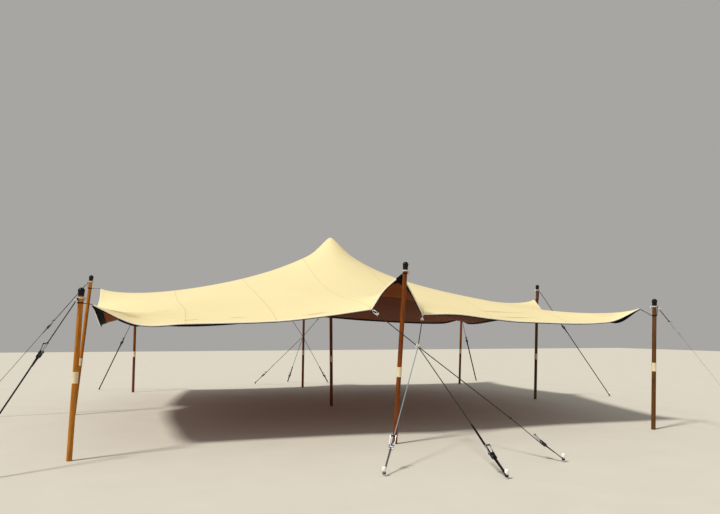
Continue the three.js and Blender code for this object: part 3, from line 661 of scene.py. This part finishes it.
def hemPath():
    # the whole rim, anticlockwise from the front left tip, and the way inwards at each point
    at = np.linspace(0, steps, fine + 1)
    line = np.concatenate([
        hemCurve(frontHem, at)[:-1], hemCurve(rightHem, at)[:-1],
        hemCurve(backHem, at)[::-1][:-1], hemCurve(leftHem, at)[::-1][:-1]])
    inner = np.concatenate([
        fabricNet[:, 2, :].T[:-1], fabricNet[:, :, -3].T[:-1],
        fabricNet[:, -3, :].T[::-1][:-1], fabricNet[:, :, 2].T[::-1][:-1]])
    return line, unit(inner - line)


def alongRim(outline, finish=0):
    # an outline of (inward, down) points carried round the rim, with down square to the fabric there
    line, inward = hemPath()
    tangent = unit(np.roll(line, -1, 0) - np.roll(line, 1, 0))
    return carried(line, inward, unit(np.cross(inward, tangent)), outline, True, finish)


def hemParts():
    # the edge is rolled round a cord, and under it webbing hangs as a piping and runs flat on the underside
    thick, roll, sides = canopy["thickness"], canopy["rollRadius"], canopy["rollSides"]
    drop, wide = canopy["pipingDrop"], canopy["pipingWidth"]
    flat, end = thick + 2 * canopy["bandThickness"], canopy["bandWidth"]
    rolled = alongRim(circle(roll, sides) + (-0.001, roll - 0.003))
    # the rolled edge is covered by the webbing patches too
    run = np.arange(4 * fine) % (2 * fine)
    covered = abs(run - fine / 2 + 0.5) * canopy["side"] / fine < canopy["tipPatch"]
    rolled["finish"] = np.repeat(covered, sides)
    webbing = alongRim([(0.001, roll), (0, drop - 0.003), (wide / 2, drop), (wide, drop - 0.003),
                        (wide + 0.004, flat + 0.002), (wide + 0.012, flat), (end, flat), (end, thick),
                        (wide, thick)], finish=1)
    return [rolled, webbing]


canopySheet = makeCanopy()
hemPiece = makePiece("canopy_hem", hemParts(), [highlightRolledKnit, blackWebbing], sharp=60)
print("canopy made")


# Poles

poles = {
    "radius": 0.036, "sleeveRadius": 0.0395, "sleeveLength": 0.15, "sleeveMiddle": 1.07, "gap": 0.0003,
    "capRadius": 0.046, "capMiddle": 0.038, "capSkirt": 0.032, "skirtRadius": 0.041, "capLow": -0.12 * pi,
    "sides": 40,
}
crown = {
    "depth": 0.15, "rim": 0.092, "cone": 1.2, "neck": 0.047, "flare": 0.012, "undercut": 0.022, "lip": 0.012,
    "belowPeak": 0.0083,
}
edgePoles = {
    "front_left": ((-4.615, -4.75), (-4.595, -4.75, 2.19)), "front": ((-0.125, -4.79), (0.06, -4.83, 2.69)),
    "front_right": ((4.64, -4.75), (4.84, -4.75, 2.19)), "right": ((5.33, 0), (5.52, 0, 2.84)),
    "back_right": ((5.4, 4.58), (5.53, 4.6, 2.2)), "back": ((0.2, 4.85), (0.2, 4.79, 2.7)),
    "back_left": ((-4.72, 4.62), (-4.76, 4.62, 2.19)), "left": ((-5.42, 0), (-5.25, 0, 2.8)),
}


def poleAxis(place):
    foot, head = edgePoles[place]
    low, high = np.array([*foot, 0.0]), np.array(head, float)
    return low, high, unit(high - low), float(np.linalg.norm(high - low))


def shaft(low, axis, top, phase):
    # a turned shaft with slow swells of half a millimetre, rounded at the head and worn at the foot
    heights = np.concatenate([
        [0, 0.006], np.linspace(0.03, top - 0.012, 60), [top - 0.004, top - 0.001, top]])
    radius = np.full(len(heights), poles["radius"] - 0.0006)
    radius[0] = poles["radius"] - 0.004
    radius[-3:] = poles["radius"] - np.array([0.001, 0.0025, 0.006])

    def swell(height, angle):
        return 0.0004 * np.sin(5.1 * height + phase) * np.cos(angle + 1.7 * height + phase)
    part = turned(np.stack([radius, heights], -1), low, axis, poles["sides"], wave=swell)
    return onGround(part, axis, poles["sides"])


def sleeve(low, axis):
    # a canvas cuff at waist height, with rolled ends
    start = poles["sleeveMiddle"] - poles["sleeveLength"] / 2
    length, outer, inner = poles["sleeveLength"], poles["sleeveRadius"], poles["radius"] + 0.0002
    heights = np.array([0, 0.001, 0.004, 0.008, 0.012, length - 0.012, length - 0.008, length - 0.004,
                        length - 0.001, length])
    radius = np.array([inner, outer - 0.001, outer + 0.0006, outer, outer - 0.0008, outer - 0.0008, outer,
                       outer + 0.0006, outer - 0.001, inner])
    return turned(np.stack([radius, start + heights], -1), low, axis, poles["sides"])


def headCap(high, axis):
    # a rubber cap: a skirt over the shaft's end, a swell with a moulding line at its widest, and a dome
    bore, skirt, outer = poles["radius"] + poles["gap"], poles["capSkirt"], poles["skirtRadius"]
    angle = np.linspace(poles["capLow"], pi / 2 - 0.02, 30)
    radius = poles["capRadius"] * np.cos(angle) + 0.0008 * np.exp(-(angle / 0.05) ** 2)
    heights = poles["capMiddle"] + poles["capRadius"] * np.sin(angle)
    skirtProfile = [
        (0.001, 0), (bore, 0), (bore, 0.002 - skirt), (bore + 0.001, -skirt), (outer - 0.0012, -skirt),
        (outer, 0.0015 - skirt), (outer, 0.006 - skirt), (outer - 0.0012, 0.008 - skirt), (outer, 0)]
    profile = np.concatenate([skirtProfile, np.stack([radius, heights], -1)])
    return turned(profile, high + axis * poles["gap"], axis, 48)


def crownHead(high, axis):
    # the crown under the peak: a neck, an undercut lip and a rounded cone
    depth, rim, neck, lip = crown["depth"], crown["rim"], crown["neck"], crown["lip"]
    rimTop = depth - rim * crown["cone"]
    t = np.linspace(0, 1, 14)
    cone = np.stack([rim * (1 - t ** 1.15) + 0.001, rimTop + (depth - rimTop) * t - 0.001], -1)
    profile = np.concatenate([[
        (0.002, 0), (neck - 0.003, 0), (neck, 0.003), (neck + crown["flare"], rimTop - crown["undercut"]),
        (rim - 0.004, rimTop - lip), (rim - 0.001, rimTop - 0.6 * lip), (rim, rimTop - 0.3 * lip)], cone])
    return turned(profile, high - axis * depth, axis, 48)


# the poles on the left side get a paler copy of the wood, painted light for the sun on that side, and those
# on the right side a darker, greyer copy, painted shade
poleWoods = {"front_left": sunlitWood, "left": sunlitWood, "front_right": shadedWood, "right": shadedWood}


def makePole(place, low, axis, top, phase, head, headNode):
    makePiece(f"shaft_{place}", [shaft(low, axis, top, phase)],
              [poleWoods.get(place, varnishedWood)], replaced=[f"pole_{place}"])
    makePiece(f"cuff_{place}", [sleeve(low, axis)], [creamCuff])
    makePiece(f"cap_{place}", [head], [mouldedRubber], replaced=[headNode])


for n, place in enumerate(edgePoles):
    low, high, axis, length = poleAxis(place)
    makePole(place, low, axis, length, n * 1.3, headCap(high, axis), f"ball_{place}")
low, high = np.zeros(3), np.array(canopy["peak"]) - (0, 0, crown["belowPeak"])
axis = unit(high)
shaftTop = float(np.linalg.norm(high)) - crown["depth"] - poles["gap"]
makePole("centre", low, axis, shaftTop, 9.0, crownHead(high, axis), "crown_centre")
print("poles made")


# Lashings, ties and guys

rigging = {
    "rope": 0.007, "ringThick": 0.009, "ringSeat": 0.003, "guyDrop": 0.058, "cornerReach": 1.4,
    "sideReach": 2.05,
    # ties: how far under the head they hold, the strap to the hem's tip, and its stitched blocks as
    # shares of its length
    "leastTieDrop": 0.1, "tieDrops": {"front_right": 0.22}, "tieRise": 0.008, "tieRing": 0.018,
    "tieRingThick": 0.0045, "strapWidth": 0.03, "strapThick": 0.005, "tipGap": 0.0018, "tipDrop": 0.004,
    "stitched": ((0.12, 0.3), (0.68, 0.88)), "stitchedWidth": 0.96, "stitchedMore": 0.0025,
    # rope wraps under the caps, the strap that links them to the ties, and the pale knots
    "wrapRope": 0.0034, "wrapTurns": 3, "wrapHeight": 0.026, "linkWidth": 0.02, "linkThick": 0.0035,
    "wrapKnot": (0.028, 0.0075), "wrapKnotOff": 0.012, "wrapKnotDrop": 0.085,
    "headKnot": (0.03, 0.0075), "headKnotAt": 0.05, "strapKnot": (0.017, 0.0055), "strapKnotAt": 0.014,
}
bridle = {
    "frontRing": (0.11, -5.2, 1.46), "backRing": (0.23, 5.08, 1.56), "knot": (0.046, 0.011),
    "footRadius": 0.034, "footSeat": 0.006, "aim": 0.035, "corner": 12, "under": 0.008,
    "shackleAt": 0.0123, "bow": 0.021, "bowTurn": 0.85, "bowRod": 0.0055, "pinShare": 0.6, "pinRod": 0.006,
    "hookAt": 0.068, "hookLong": 0.05, "hookWide": 0.02, "hookTaper": 0.15, "hookRod": 0.005,
    "ropeAt": 0.115, "ropeEnd": 0.012, "legKnot": (0.03, 0.008), "legKnotAt": 0.13,
}
fanStakes = {
    "front": {"left": (-0.9, -6.64), "middle": (0.41, -7.15), "right": (1.57, -6.56)},
    "back": {"left": (-1.1, 6.45), "middle": (0.06, 6.95), "right": (1.35, 6.5)},
}
# how far down each guy its ratchet sits
ratchetShares = {"left": 0.81, "middle": 0.86, "right": 0.86, "guy_front_right": 0.18}
usualShare = 0.34
headings = {
    "front_left": (-1, -1), "front_right": (1, -1), "back_left": (-1, 1), "back_right": (1, 1),
    "left": (-1, 0), "right": (1, 0),
}


def lashing(centre, axis, radius, height, rope, turns, finish=0):
    # rope wound round a pole: a helix whose turns lie side by side
    t = np.linspace(0, 1, turns * 28 + 1)
    rise = (height - 2 * rope) * (t - 0.5)
    path = (np.asarray(centre) + (radius + rope) * around(2 * pi * turns * t, *squareTo(axis))
            + rise[:, None] * axis)
    return sweep(path, circle(rope, 8), upHint=axis, finish=finish)


def poleWrap(centre, axis, finish=0):
    return lashing(centre, axis, poles["radius"] + 0.0004, rigging["wrapHeight"],
                   rigging["wrapRope"], rigging["wrapTurns"], finish)


def strapRing(centre, axis):
    # one turn of webbing round a pole: a flat profile turned round it and closed on itself
    inner, half = poles["radius"] + 0.0004, rigging["tieRing"] / 2
    outer, edge = inner + rigging["tieRingThick"], half - 0.001
    profile = [(inner, -half), (outer - 0.001, -half), (outer, -edge), (outer, edge), (outer - 0.001, half),
               (inner, half)]
    return turned(profile, centre, axis, poles["sides"], closed=True)


def knot(centre, sizes, axis=(0, 0, 1), finish=0):
    # A trefoil: a rope that goes twice round a ring while it goes three times through it. The sizes are
    # the knot's radius and the rope's.
    size, rope = sizes
    t = np.linspace(0, 2 * pi, 97)[:-1]
    swing = 0.62 + 0.38 * np.cos(3 * t)
    shape = np.stack([swing * np.cos(2 * t), swing * np.sin(2 * t), 0.42 * np.sin(3 * t)], -1) * (size - rope)
    turn = unit(np.asarray(axis, float))
    side = unit(np.cross(turn, [0.31, 0.9, 0.2]))
    path = np.asarray(centre) + shape @ np.stack([side, np.cross(turn, side), turn])
    tangent = unit(np.roll(path, -1, 0) - np.roll(path, 1, 0))
    sideways = unit(np.cross(tangent, unit(path - centre + 1e-6)))
    return carried(path, sideways, np.cross(sideways, tangent), circle(rope, 8), True, finish)


def ringOuter():
    # how far from a pole's axis the rope wound round it reaches
    return poles["radius"] + poles["gap"] + rigging["ringThick"]


def makeTie(place, tip):
    high, axis = poleAxis(place)[1:3]
    drop = rigging["tieDrops"].get(place, max(rigging["leastTieDrop"], high[2] - tip[2] - rigging["tieRise"]))
    centre = high - axis * drop
    start = centre + unit((tip - centre) * (1, 1, 0)) * (ringOuter() - rigging["ringThick"] / 2)
    whole = tip - unit(tip - start) * rigging["tipGap"] - start
    parts = [strapRing(centre, axis)]
    if place in ("front", "back"):
        # pale rope under the cap, with its knot hanging on the right
        beside = high - axis * rigging["wrapKnotDrop"] + (ringOuter() + rigging["wrapKnotOff"], 0, 0)
        parts += [poleWrap(high - axis * rigging["guyDrop"], axis, 1),
                  knot(beside, rigging["wrapKnot"], (0.2, 1, 0.1), finish=1)]
    # a doubled strap from the lashing to the hem's tip, with a stitched block at each end
    wide, thick = rigging["strapWidth"], rigging["strapThick"]
    parts.append(sweep(straight(start, start + whole, 12), flatBand(wide, thick)))
    block = flatBand(wide * rigging["stitchedWidth"], thick + rigging["stitchedMore"])
    for a, b in rigging["stitched"]:
        parts.append(sweep(straight(start + whole * a, start + whole * b, 4), block))
    makePiece(f"tether_{place}", parts, [blackWebbing, paleRope],
              replaced=[f"tie_{place}"], sharp=50)
    return centre


midStep = steps / 2
tips = {
    "front_left": (0, 0), "front": (midStep, 0), "front_right": (steps, 0), "right": (steps, midStep),
    "back_right": (steps, steps), "back": (midStep, steps), "back_left": (0, steps), "left": (0, midStep),
}
tieCentres = {}
for place, (u, v) in tips.items():
    tieCentres[place] = makeTie(place, fabricAt([u], [v])[0, 0] - (0, 0, rigging["tipDrop"]))

# Ratchet: x runs down the guy from the spindle, y across, z stands off it. The plates come first, then
# the wheels on the spindle, the floor and pawl plates, the handle and the strap.
ratchet = {
    "half": 0.028, "plate": 0.004, "high": 0.017, "front": 0.024, "back": 0.082, "anchor": 0.066,
    "pin": 0.006, "nut": 0.009, "spindle": 0.009, "reach": 0.042, "boss": 0.0125, "bossInner": 0.0375,
    "teeth": 13, "wheel": 0.0135, "tooth": 0.0032,
    "floor": (0.028, 0.056, -0.0165, -0.0135), "pawl": (0.026, 0.044, 0.004, 0.0075),
    "bore": 0.0098, "eye": 0.017, "armIn": 0.033, "arm": 0.112, "rise": 0.024, "armHalf": 0.0082,
    "waist": 0.0012, "bar": 0.006, "grip": 0.009, "rib": 0.0006, "ribPitch": 0.006,
    "strapThick": 0.0024, "windings": 2.5, "windingGap": 0.0026, "sewn": 0.14, "anchorWidth": 1.1,
}


def onSide(side, inner, outer):
    # the low and high y of a piece on one side of the ratchet
    return sorted((side * inner, side * outer))


def slab(outline, low, high, finish=0):
    # an outline of (x, z) points carried across from y = low to y = high, with softened edges
    outline = np.asarray(outline, float)
    middle = outline.mean(0)
    soft = min(0.0008, (high - low) * 0.25)
    shrink = 1 - soft / np.maximum(np.linalg.norm(outline - middle, axis=1, keepdims=True), 0.004)
    rows = [(low, shrink), (low + soft, 1), (high - soft, 1), (high, shrink)]
    points = [np.insert(middle + (outline - middle) * size, 1, y, axis=1) for y, size in rows]
    return gridPart(np.stack(points), finish=finish)


def roundedBlock(x0, x1, z0, z1, power=5, count=36):
    # a rectangle with round corners: a superellipse of the given power
    angle = np.linspace(0, 2 * pi, count, endpoint=False)
    c, s = np.cos(angle), np.sin(angle)
    return np.stack([
        (x0 + x1) / 2 + (x1 - x0) / 2 * np.sign(c) * abs(c) ** (2 / power),
        (z0 + z1) / 2 + (z1 - z0) / 2 * np.sign(s) * abs(s) ** (2 / power)], -1)


def rodAcross(x, z, radius, low, high, sides=24, finish=0):
    # a pin across the frame, with its edges rounded
    e = min(0.001, radius * 0.2)
    profile = [(radius - e, low), (radius, low + e), (radius, high - e), (radius - e, high)]
    return turned(profile, (x, 0, z), (0, 1, 0), sides, finish)


def toothedWheel(side):
    # a disc with slanted teeth round it
    count = 8 * ratchet["teeth"]
    angle = np.linspace(0, 2 * pi, count, endpoint=False)
    radius = ratchet["wheel"] + ratchet["tooth"] * (angle * ratchet["teeth"] / (2 * pi) % 1)
    return slab(circle(radius, count), *onSide(side, ratchet["half"] + 0.0002, ratchet["half"] + 0.0026))


def ratchetMetal():
    # side plates with their wheels, bosses and nuts, then the rods and plates between them
    half, plate, high, anchor = ratchet["half"], ratchet["plate"], ratchet["high"], ratchet["anchor"]
    outline = roundedBlock(-ratchet["front"], ratchet["back"], -high, high)
    parts = []
    for side in (-1, 1):
        parts += [slab(outline, *onSide(side, half - plate, half)), toothedWheel(side),
                  rodAcross(0, 0, ratchet["boss"], *onSide(side, ratchet["bossInner"], ratchet["reach"])),
                  rodAcross(anchor, 0, ratchet["nut"], *onSide(side, half - 0.001, half + 0.003), 6)]
    return parts + [
        rodAcross(0, 0, ratchet["spindle"], -ratchet["reach"] + 0.001, ratchet["reach"] - 0.001),
        rodAcross(anchor, 0, ratchet["pin"], -half + 0.001, half - 0.001),
        slab(roundedBlock(*ratchet["floor"], 8), -half + plate, half - plate),
        slab(roundedBlock(*ratchet["pawl"], 6), -half - 0.001, half + 0.001)]


def handleParts():
    # two arms with an eye each, a cross bar and a ribbed grip
    arm, rise, bore, eye = ratchet["arm"], ratchet["rise"], ratchet["bore"], ratchet["eye"]
    outer = ratchet["armIn"] + ratchet["plate"]
    slope = math.atan2(rise, arm)
    turn = np.array([[math.cos(slope), -math.sin(slope)], [math.sin(slope), math.cos(slope)]])
    t = np.linspace(0, 1, 9)
    xs = ratchet["boss"] + (math.hypot(arm, rise) + ratchet["bar"] - ratchet["boss"]) * t
    width = ratchet["armHalf"] - ratchet["waist"] * np.sin(pi * t)
    edge = np.concatenate([np.stack([-xs, width], -1), np.stack([-xs[::-1], -width[::-1]], -1)])
    parts = []
    for side in (-1, 1):
        low, high = onSide(side, ratchet["armIn"], outer)
        e = 0.0006
        profile = [(bore, low + e), (bore + e, low), (eye - e, low), (eye, low + e),
                   (eye, high - e), (eye - e, high), (bore + e, high), (bore, high - e)]
        parts += [turned(profile, (0, 0, 0), (0, 1, 0), 36, closed=True), slab(edge @ turn, low, high)]
    parts.append(rodAcross(-arm, rise, ratchet["bar"], -outer, outer))
    ribs = np.linspace(-ratchet["armIn"] + 0.001, ratchet["armIn"] - 0.001, 45)
    wave = np.cos((ribs + ratchet["armIn"]) * 2 * pi / ratchet["ribPitch"])
    profile = np.stack([ratchet["grip"] - ratchet["rib"] + ratchet["rib"] * wave, ribs], -1)
    parts.append(turned(profile, (-arm, 0, rise), (0, 1, 0), 24, finish=1))
    return parts


def sweepAcross(path, width):
    # flat webbing whose width lies along y: a thin rounded outline carried along a path in x and z
    across = np.array([[0.0, 1.0, 0.0]])
    out = np.cross(unit(np.gradient(path, axis=0)), across)
    return carried(path, across, out, flatBand(width, ratchet["strapThick"]))


def inPlane(x, z):
    # points in the middle plane of the ratchet
    return np.stack([x, np.zeros(len(x)), z], -1)


def woundStrap(length, width):
    # the strap winds on the spindle in a spiral, then leaves from its underside and runs up the guy
    t, windings = np.linspace(0, 1, 70), ratchet["windings"]
    radius = ratchet["spindle"] + 0.0014 + ratchet["windingGap"] * windings * t
    angle = -pi / 2 + 2 * pi * windings * (1 - t)
    spiral = inPlane(radius * np.cos(angle), radius * np.sin(angle))
    reach = np.linspace(0, 1, 14)[1:]
    start = spiral[-1]
    tail = inPlane(start[0] - length * reach, start[2] * (1 - reach) ** 1.3)
    return sweepAcross(np.concatenate([spiral, tail]), width)


def anchorStrap(length, width):
    # a strap from the stake round the anchor pin and back, sewn to itself
    x = ratchet["anchor"]
    bend = np.linspace(pi / 2, 3 * pi / 2, 16)
    radius = ratchet["pin"] + 0.0018
    loop = inPlane(x + radius * np.cos(bend), radius * np.sin(bend))
    go = np.linspace(0, 1, 10)[1:]
    top = inPlane(x + length * go, radius * np.exp(-go * 14) + 0.0013)[::-1]
    back = inPlane(x + min(ratchet["sewn"], length) * go, -radius * np.exp(-go * 3.5) - 0.0013)
    return sweepAcross(np.concatenate([top, loop, back]), width)


stake = {
    "radius": 0.013, "height": 0.11, "lean": 0.08, "collar": 0.32, "rope": 0.0042, "wrap": 0.028, "turns": 3,
    # the safety cap's profile of radius and height, from the rim up
    "cap": [(0.014, -0.042), (0.0215, -0.042), (0.0245, -0.04), (0.0258, -0.018), (0.025, -0.007),
            (0.021, -0.0005), (0.013, 0.003), (0.001, 0.004)],
}


def stakeParts(foot, outward):
    # a steel bar that leans away from the tent, with a white safety cap pushed over its top
    direction = unit(outward * stake["lean"] + upward)
    radius, height = stake["radius"], stake["height"]
    profile = [(radius, 0), (radius, 0.02), (radius, height - 0.012), (radius - 0.002, height - 0.01)]
    bar = onGround(turned(profile, foot, direction, 24), direction, 24)
    cap = turned(stake["cap"], foot + direction * (height - 0.004), direction, 32, finish=1)
    return direction, foot + direction * height * stake["collar"], bar, cap


# finishes of rope, strap and ratchet, then the strap's width and how far it runs up from the ratchet
poleGuy = (darkRope, blackWebbing, blackSteel, 0.036, 0.12)
fanGuy = (darkRope, blackWebbing, blackSteel, 0.036, 0.46)
guyLooks = {
    "fan_front_left": (blueRope, greyWebbing, zincSteel, 0.022, 0.1),
    "guy_front_right": (darkRope, blackWebbing, zincSteel, 0.036, 0.12),
}


def makeGuy(node, start, stakeFoot, share, body="tent", replaced=()):
    # rope from the head, knotted to the ratchet's strap, then the ratchet at its share of the way down,
    # the strap to the stake's collar, and the stake
    fan = node.startswith("fan")
    looks = guyLooks.get(node, fanGuy if fan else poleGuy)
    ropeFinish, strapFinish, ratchetFinish, strapWidth, strapUp = looks
    foot = np.array([*stakeFoot, 0.0])
    direction, collar, bar, cap = stakeParts(foot, unit((foot - start) * (1, 1, 0)))
    along = unit(collar - start)
    spindle = start + (collar - start) * share
    place = localFrame(spindle, along)
    down = float(np.linalg.norm(collar - spindle))
    strapTop = spindle - along * (strapUp + rigging["strapKnotAt"])
    parts = [sweep(straight(start, strapTop, 40), circle(rigging["rope"], 10)),
             knot(strapTop, rigging["strapKnot"], along)]
    if not fan:
        parts.append(knot(start + along * rigging["headKnotAt"], rigging["headKnot"], along, finish=1))
    makePiece(f"line_{node}", parts, [ropeFinish, paleRope], replaced=[node])
    metal = [moved(part, place) for part in ratchetMetal()]
    makePiece(f"ratchet_{node}", metal, [ratchetFinish])
    straps = [moved(woundStrap(strapUp, strapWidth), place),
              moved(anchorStrap(down - ratchet["anchor"], strapWidth * ratchet["anchorWidth"]), place),
              lashing(collar, direction, stake["radius"] + 0.0005, stake["wrap"], stake["rope"],
                      stake["turns"])]
    makePiece(f"strap_{node}", straps, [strapFinish], sharp=50)
    makePiece(f"peg_{node}", [bar, cap], [zincSteel, whitePlastic])
    handle = [moved(part, place) for part in handleParts()]
    makePiece(f"lever_{node}", handle, [zincSteel, mouldedRubber], body=body, replaced=replaced)


def makePoleGuy(place, heading):
    # rope wrapped round the pole under its cap, with a pale knot on the side towards the canopy and a
    # strap up from the tie's ring, and then the guy
    high, axis = poleAxis(place)[1:3]
    centre = high - axis * rigging["guyDrop"]
    out = unit(np.array([*heading, 0.0]))
    start = centre + out * (ringOuter() - rigging["ringSeat"])
    off = rigging["wrapKnotOff"]
    inner = centre - out * (ringOuter() + off) - axis * off
    tieSide = tieCentres[place] + out * (poles["radius"] + rigging["tieRingThick"])
    link = sweep(straight(tieSide, start + out * off, 6),
                 flatBand(rigging["linkWidth"], rigging["linkThick"]), finish=1)
    makePiece(f"wrap_{place}", [poleWrap(centre, axis), knot(inner, rigging["wrapKnot"], out), link],
              [paleRope, blackWebbing])
    foot = centre + out * rigging["cornerReach" if "_" in place else "sideReach"]
    makeGuy(f"guy_{place}", start, foot[:2], ratchetShares.get(f"guy_{place}", usualShare))


def bridleLeg(corner, ring):
    # the rope and knot of one leg, and its metal: a bow shackle with its pin, and a snap hook
    pull = unit(ring - corner)
    start = corner + pull * bridle["shackleAt"]
    line = straight(start + pull * bridle["ropeAt"], ring - pull * bridle["ropeEnd"], 24)
    rope = [sweep(line, circle(rigging["rope"], 10)),
            knot(start + pull * bridle["legKnotAt"], bridle["legKnot"], pull, finish=1)]
    # the shackle's bow is part of a ring through the hem's loop
    angle = np.linspace(-bridle["bowTurn"] * pi, bridle["bowTurn"] * pi, 28)
    side = unit(np.cross(pull, upward))
    facing = np.cross(pull, side)
    bow = start + bridle["bow"] * around(angle, pull, side)
    # the snap hook is a long ring, square to the bow
    turn = np.linspace(0, 2 * pi, 41)[:-1]
    along = bridle["hookAt"] + bridle["hookLong"] * np.cos(turn)[:, None]
    wide = bridle["hookWide"] * np.sin(turn) * (1 + bridle["hookTaper"] * np.cos(turn))
    hook = start + pull * along + wide[:, None] * facing
    span = (bow[0] - bow[-1]) * bridle["pinShare"]
    return rope, [sweep(bow, circle(bridle["bowRod"], 8), upHint=facing),
                  sweep(hook, circle(bridle["hookRod"], 8), upHint=side, closed=True),
                  sweep(straight(bow[0] + span, bow[-1] - span), circle(bridle["pinRod"], 10), upHint=pull)]


def makeBridle(place, v):
    # two legs from the hem at v down to one knot, and the fan of three guys that leaves it
    ring = np.array(bridle[f"{place}Ring"])
    ropes, metal = [knot(ring, bridle["knot"], (0.2, 1, 0.3), finish=1)], []
    for u in (bridle["corner"], steps - bridle["corner"]):
        rope, rods = bridleLeg(fabricAt([u], [v])[0, 0] - (0, 0, bridle["under"]), ring)
        ropes += rope
        metal += rods
    makePiece(f"legs_{place}", ropes, [darkRope, paleRope], replaced=[f"bridle_{place}"])
    makePiece(f"shackles_{place}", metal, [zincSteel])
    for side, foot in fanStakes[place].items():
        pull = unit(np.array([*foot, bridle["aim"]]) - ring)
        start = ring + pull * (bridle["footRadius"] - bridle["footSeat"])
        # the front handles turn, and the back ones are one with their guys
        handle = {}
        if place == "front":
            handle = {"body": f"ratchet_handle_{side}", "replaced": [f"handle_fan_front_{side}"]}
        makeGuy(f"fan_{place}_{side}", start, foot, ratchetShares[side], **handle)


for place, heading in headings.items():
    makePoleGuy(place, heading)
makeBridle("front", 0)
makeBridle("back", steps)
print("rigging made")


# Floor and light

stage = {
    "half": 45.0, "floor": ("D2CDC2", "DDD8CC"), "world": "F6F4F0", "worldStrength": 0.42,
    "sun": 2.75, "sunWidth": 8, "sunTurn": (36, 0, -66), "sunColour": (1.0, 0.96, 0.88),
}
corners = [(x, y, 0.0) for x, y in ((-1, -1), (1, -1), (1, 1), (-1, 1))]
floorMesh = bpy.data.meshes.new("floor")
floorMesh.from_pydata((np.array(corners) * stage["half"]).tolist(), [], [(0, 1, 2, 3)])
floorMesh.materials.append(mottledFinish("matFloor", *stage["floor"], 1.5, {"Roughness": 0.9}))
floorPiece = bpy.data.objects.new("floor", floorMesh)
bpy.context.scene.collection.objects.link(floorPiece)

world = bpy.data.worlds.new("studio")
world.use_nodes = True
background = world.node_tree.nodes["Background"]
background.inputs["Color"].default_value = hexColour(stage["world"])
background.inputs["Strength"].default_value = stage["worldStrength"]
bpy.context.scene.world = world
# plain sRGB display, so that a finish shows at the colour it is given
bpy.context.scene.view_settings.view_transform = "Standard"

key = bpy.data.objects.new("key", bpy.data.lights.new("key", "SUN"))
key.data.energy = stage["sun"]
key.data.angle = math.radians(stage["sunWidth"])
key.data.color = stage["sunColour"]
key.rotation_euler = [math.radians(degrees) for degrees in stage["sunTurn"]]
bpy.context.scene.collection.objects.link(key)
print("stage made")
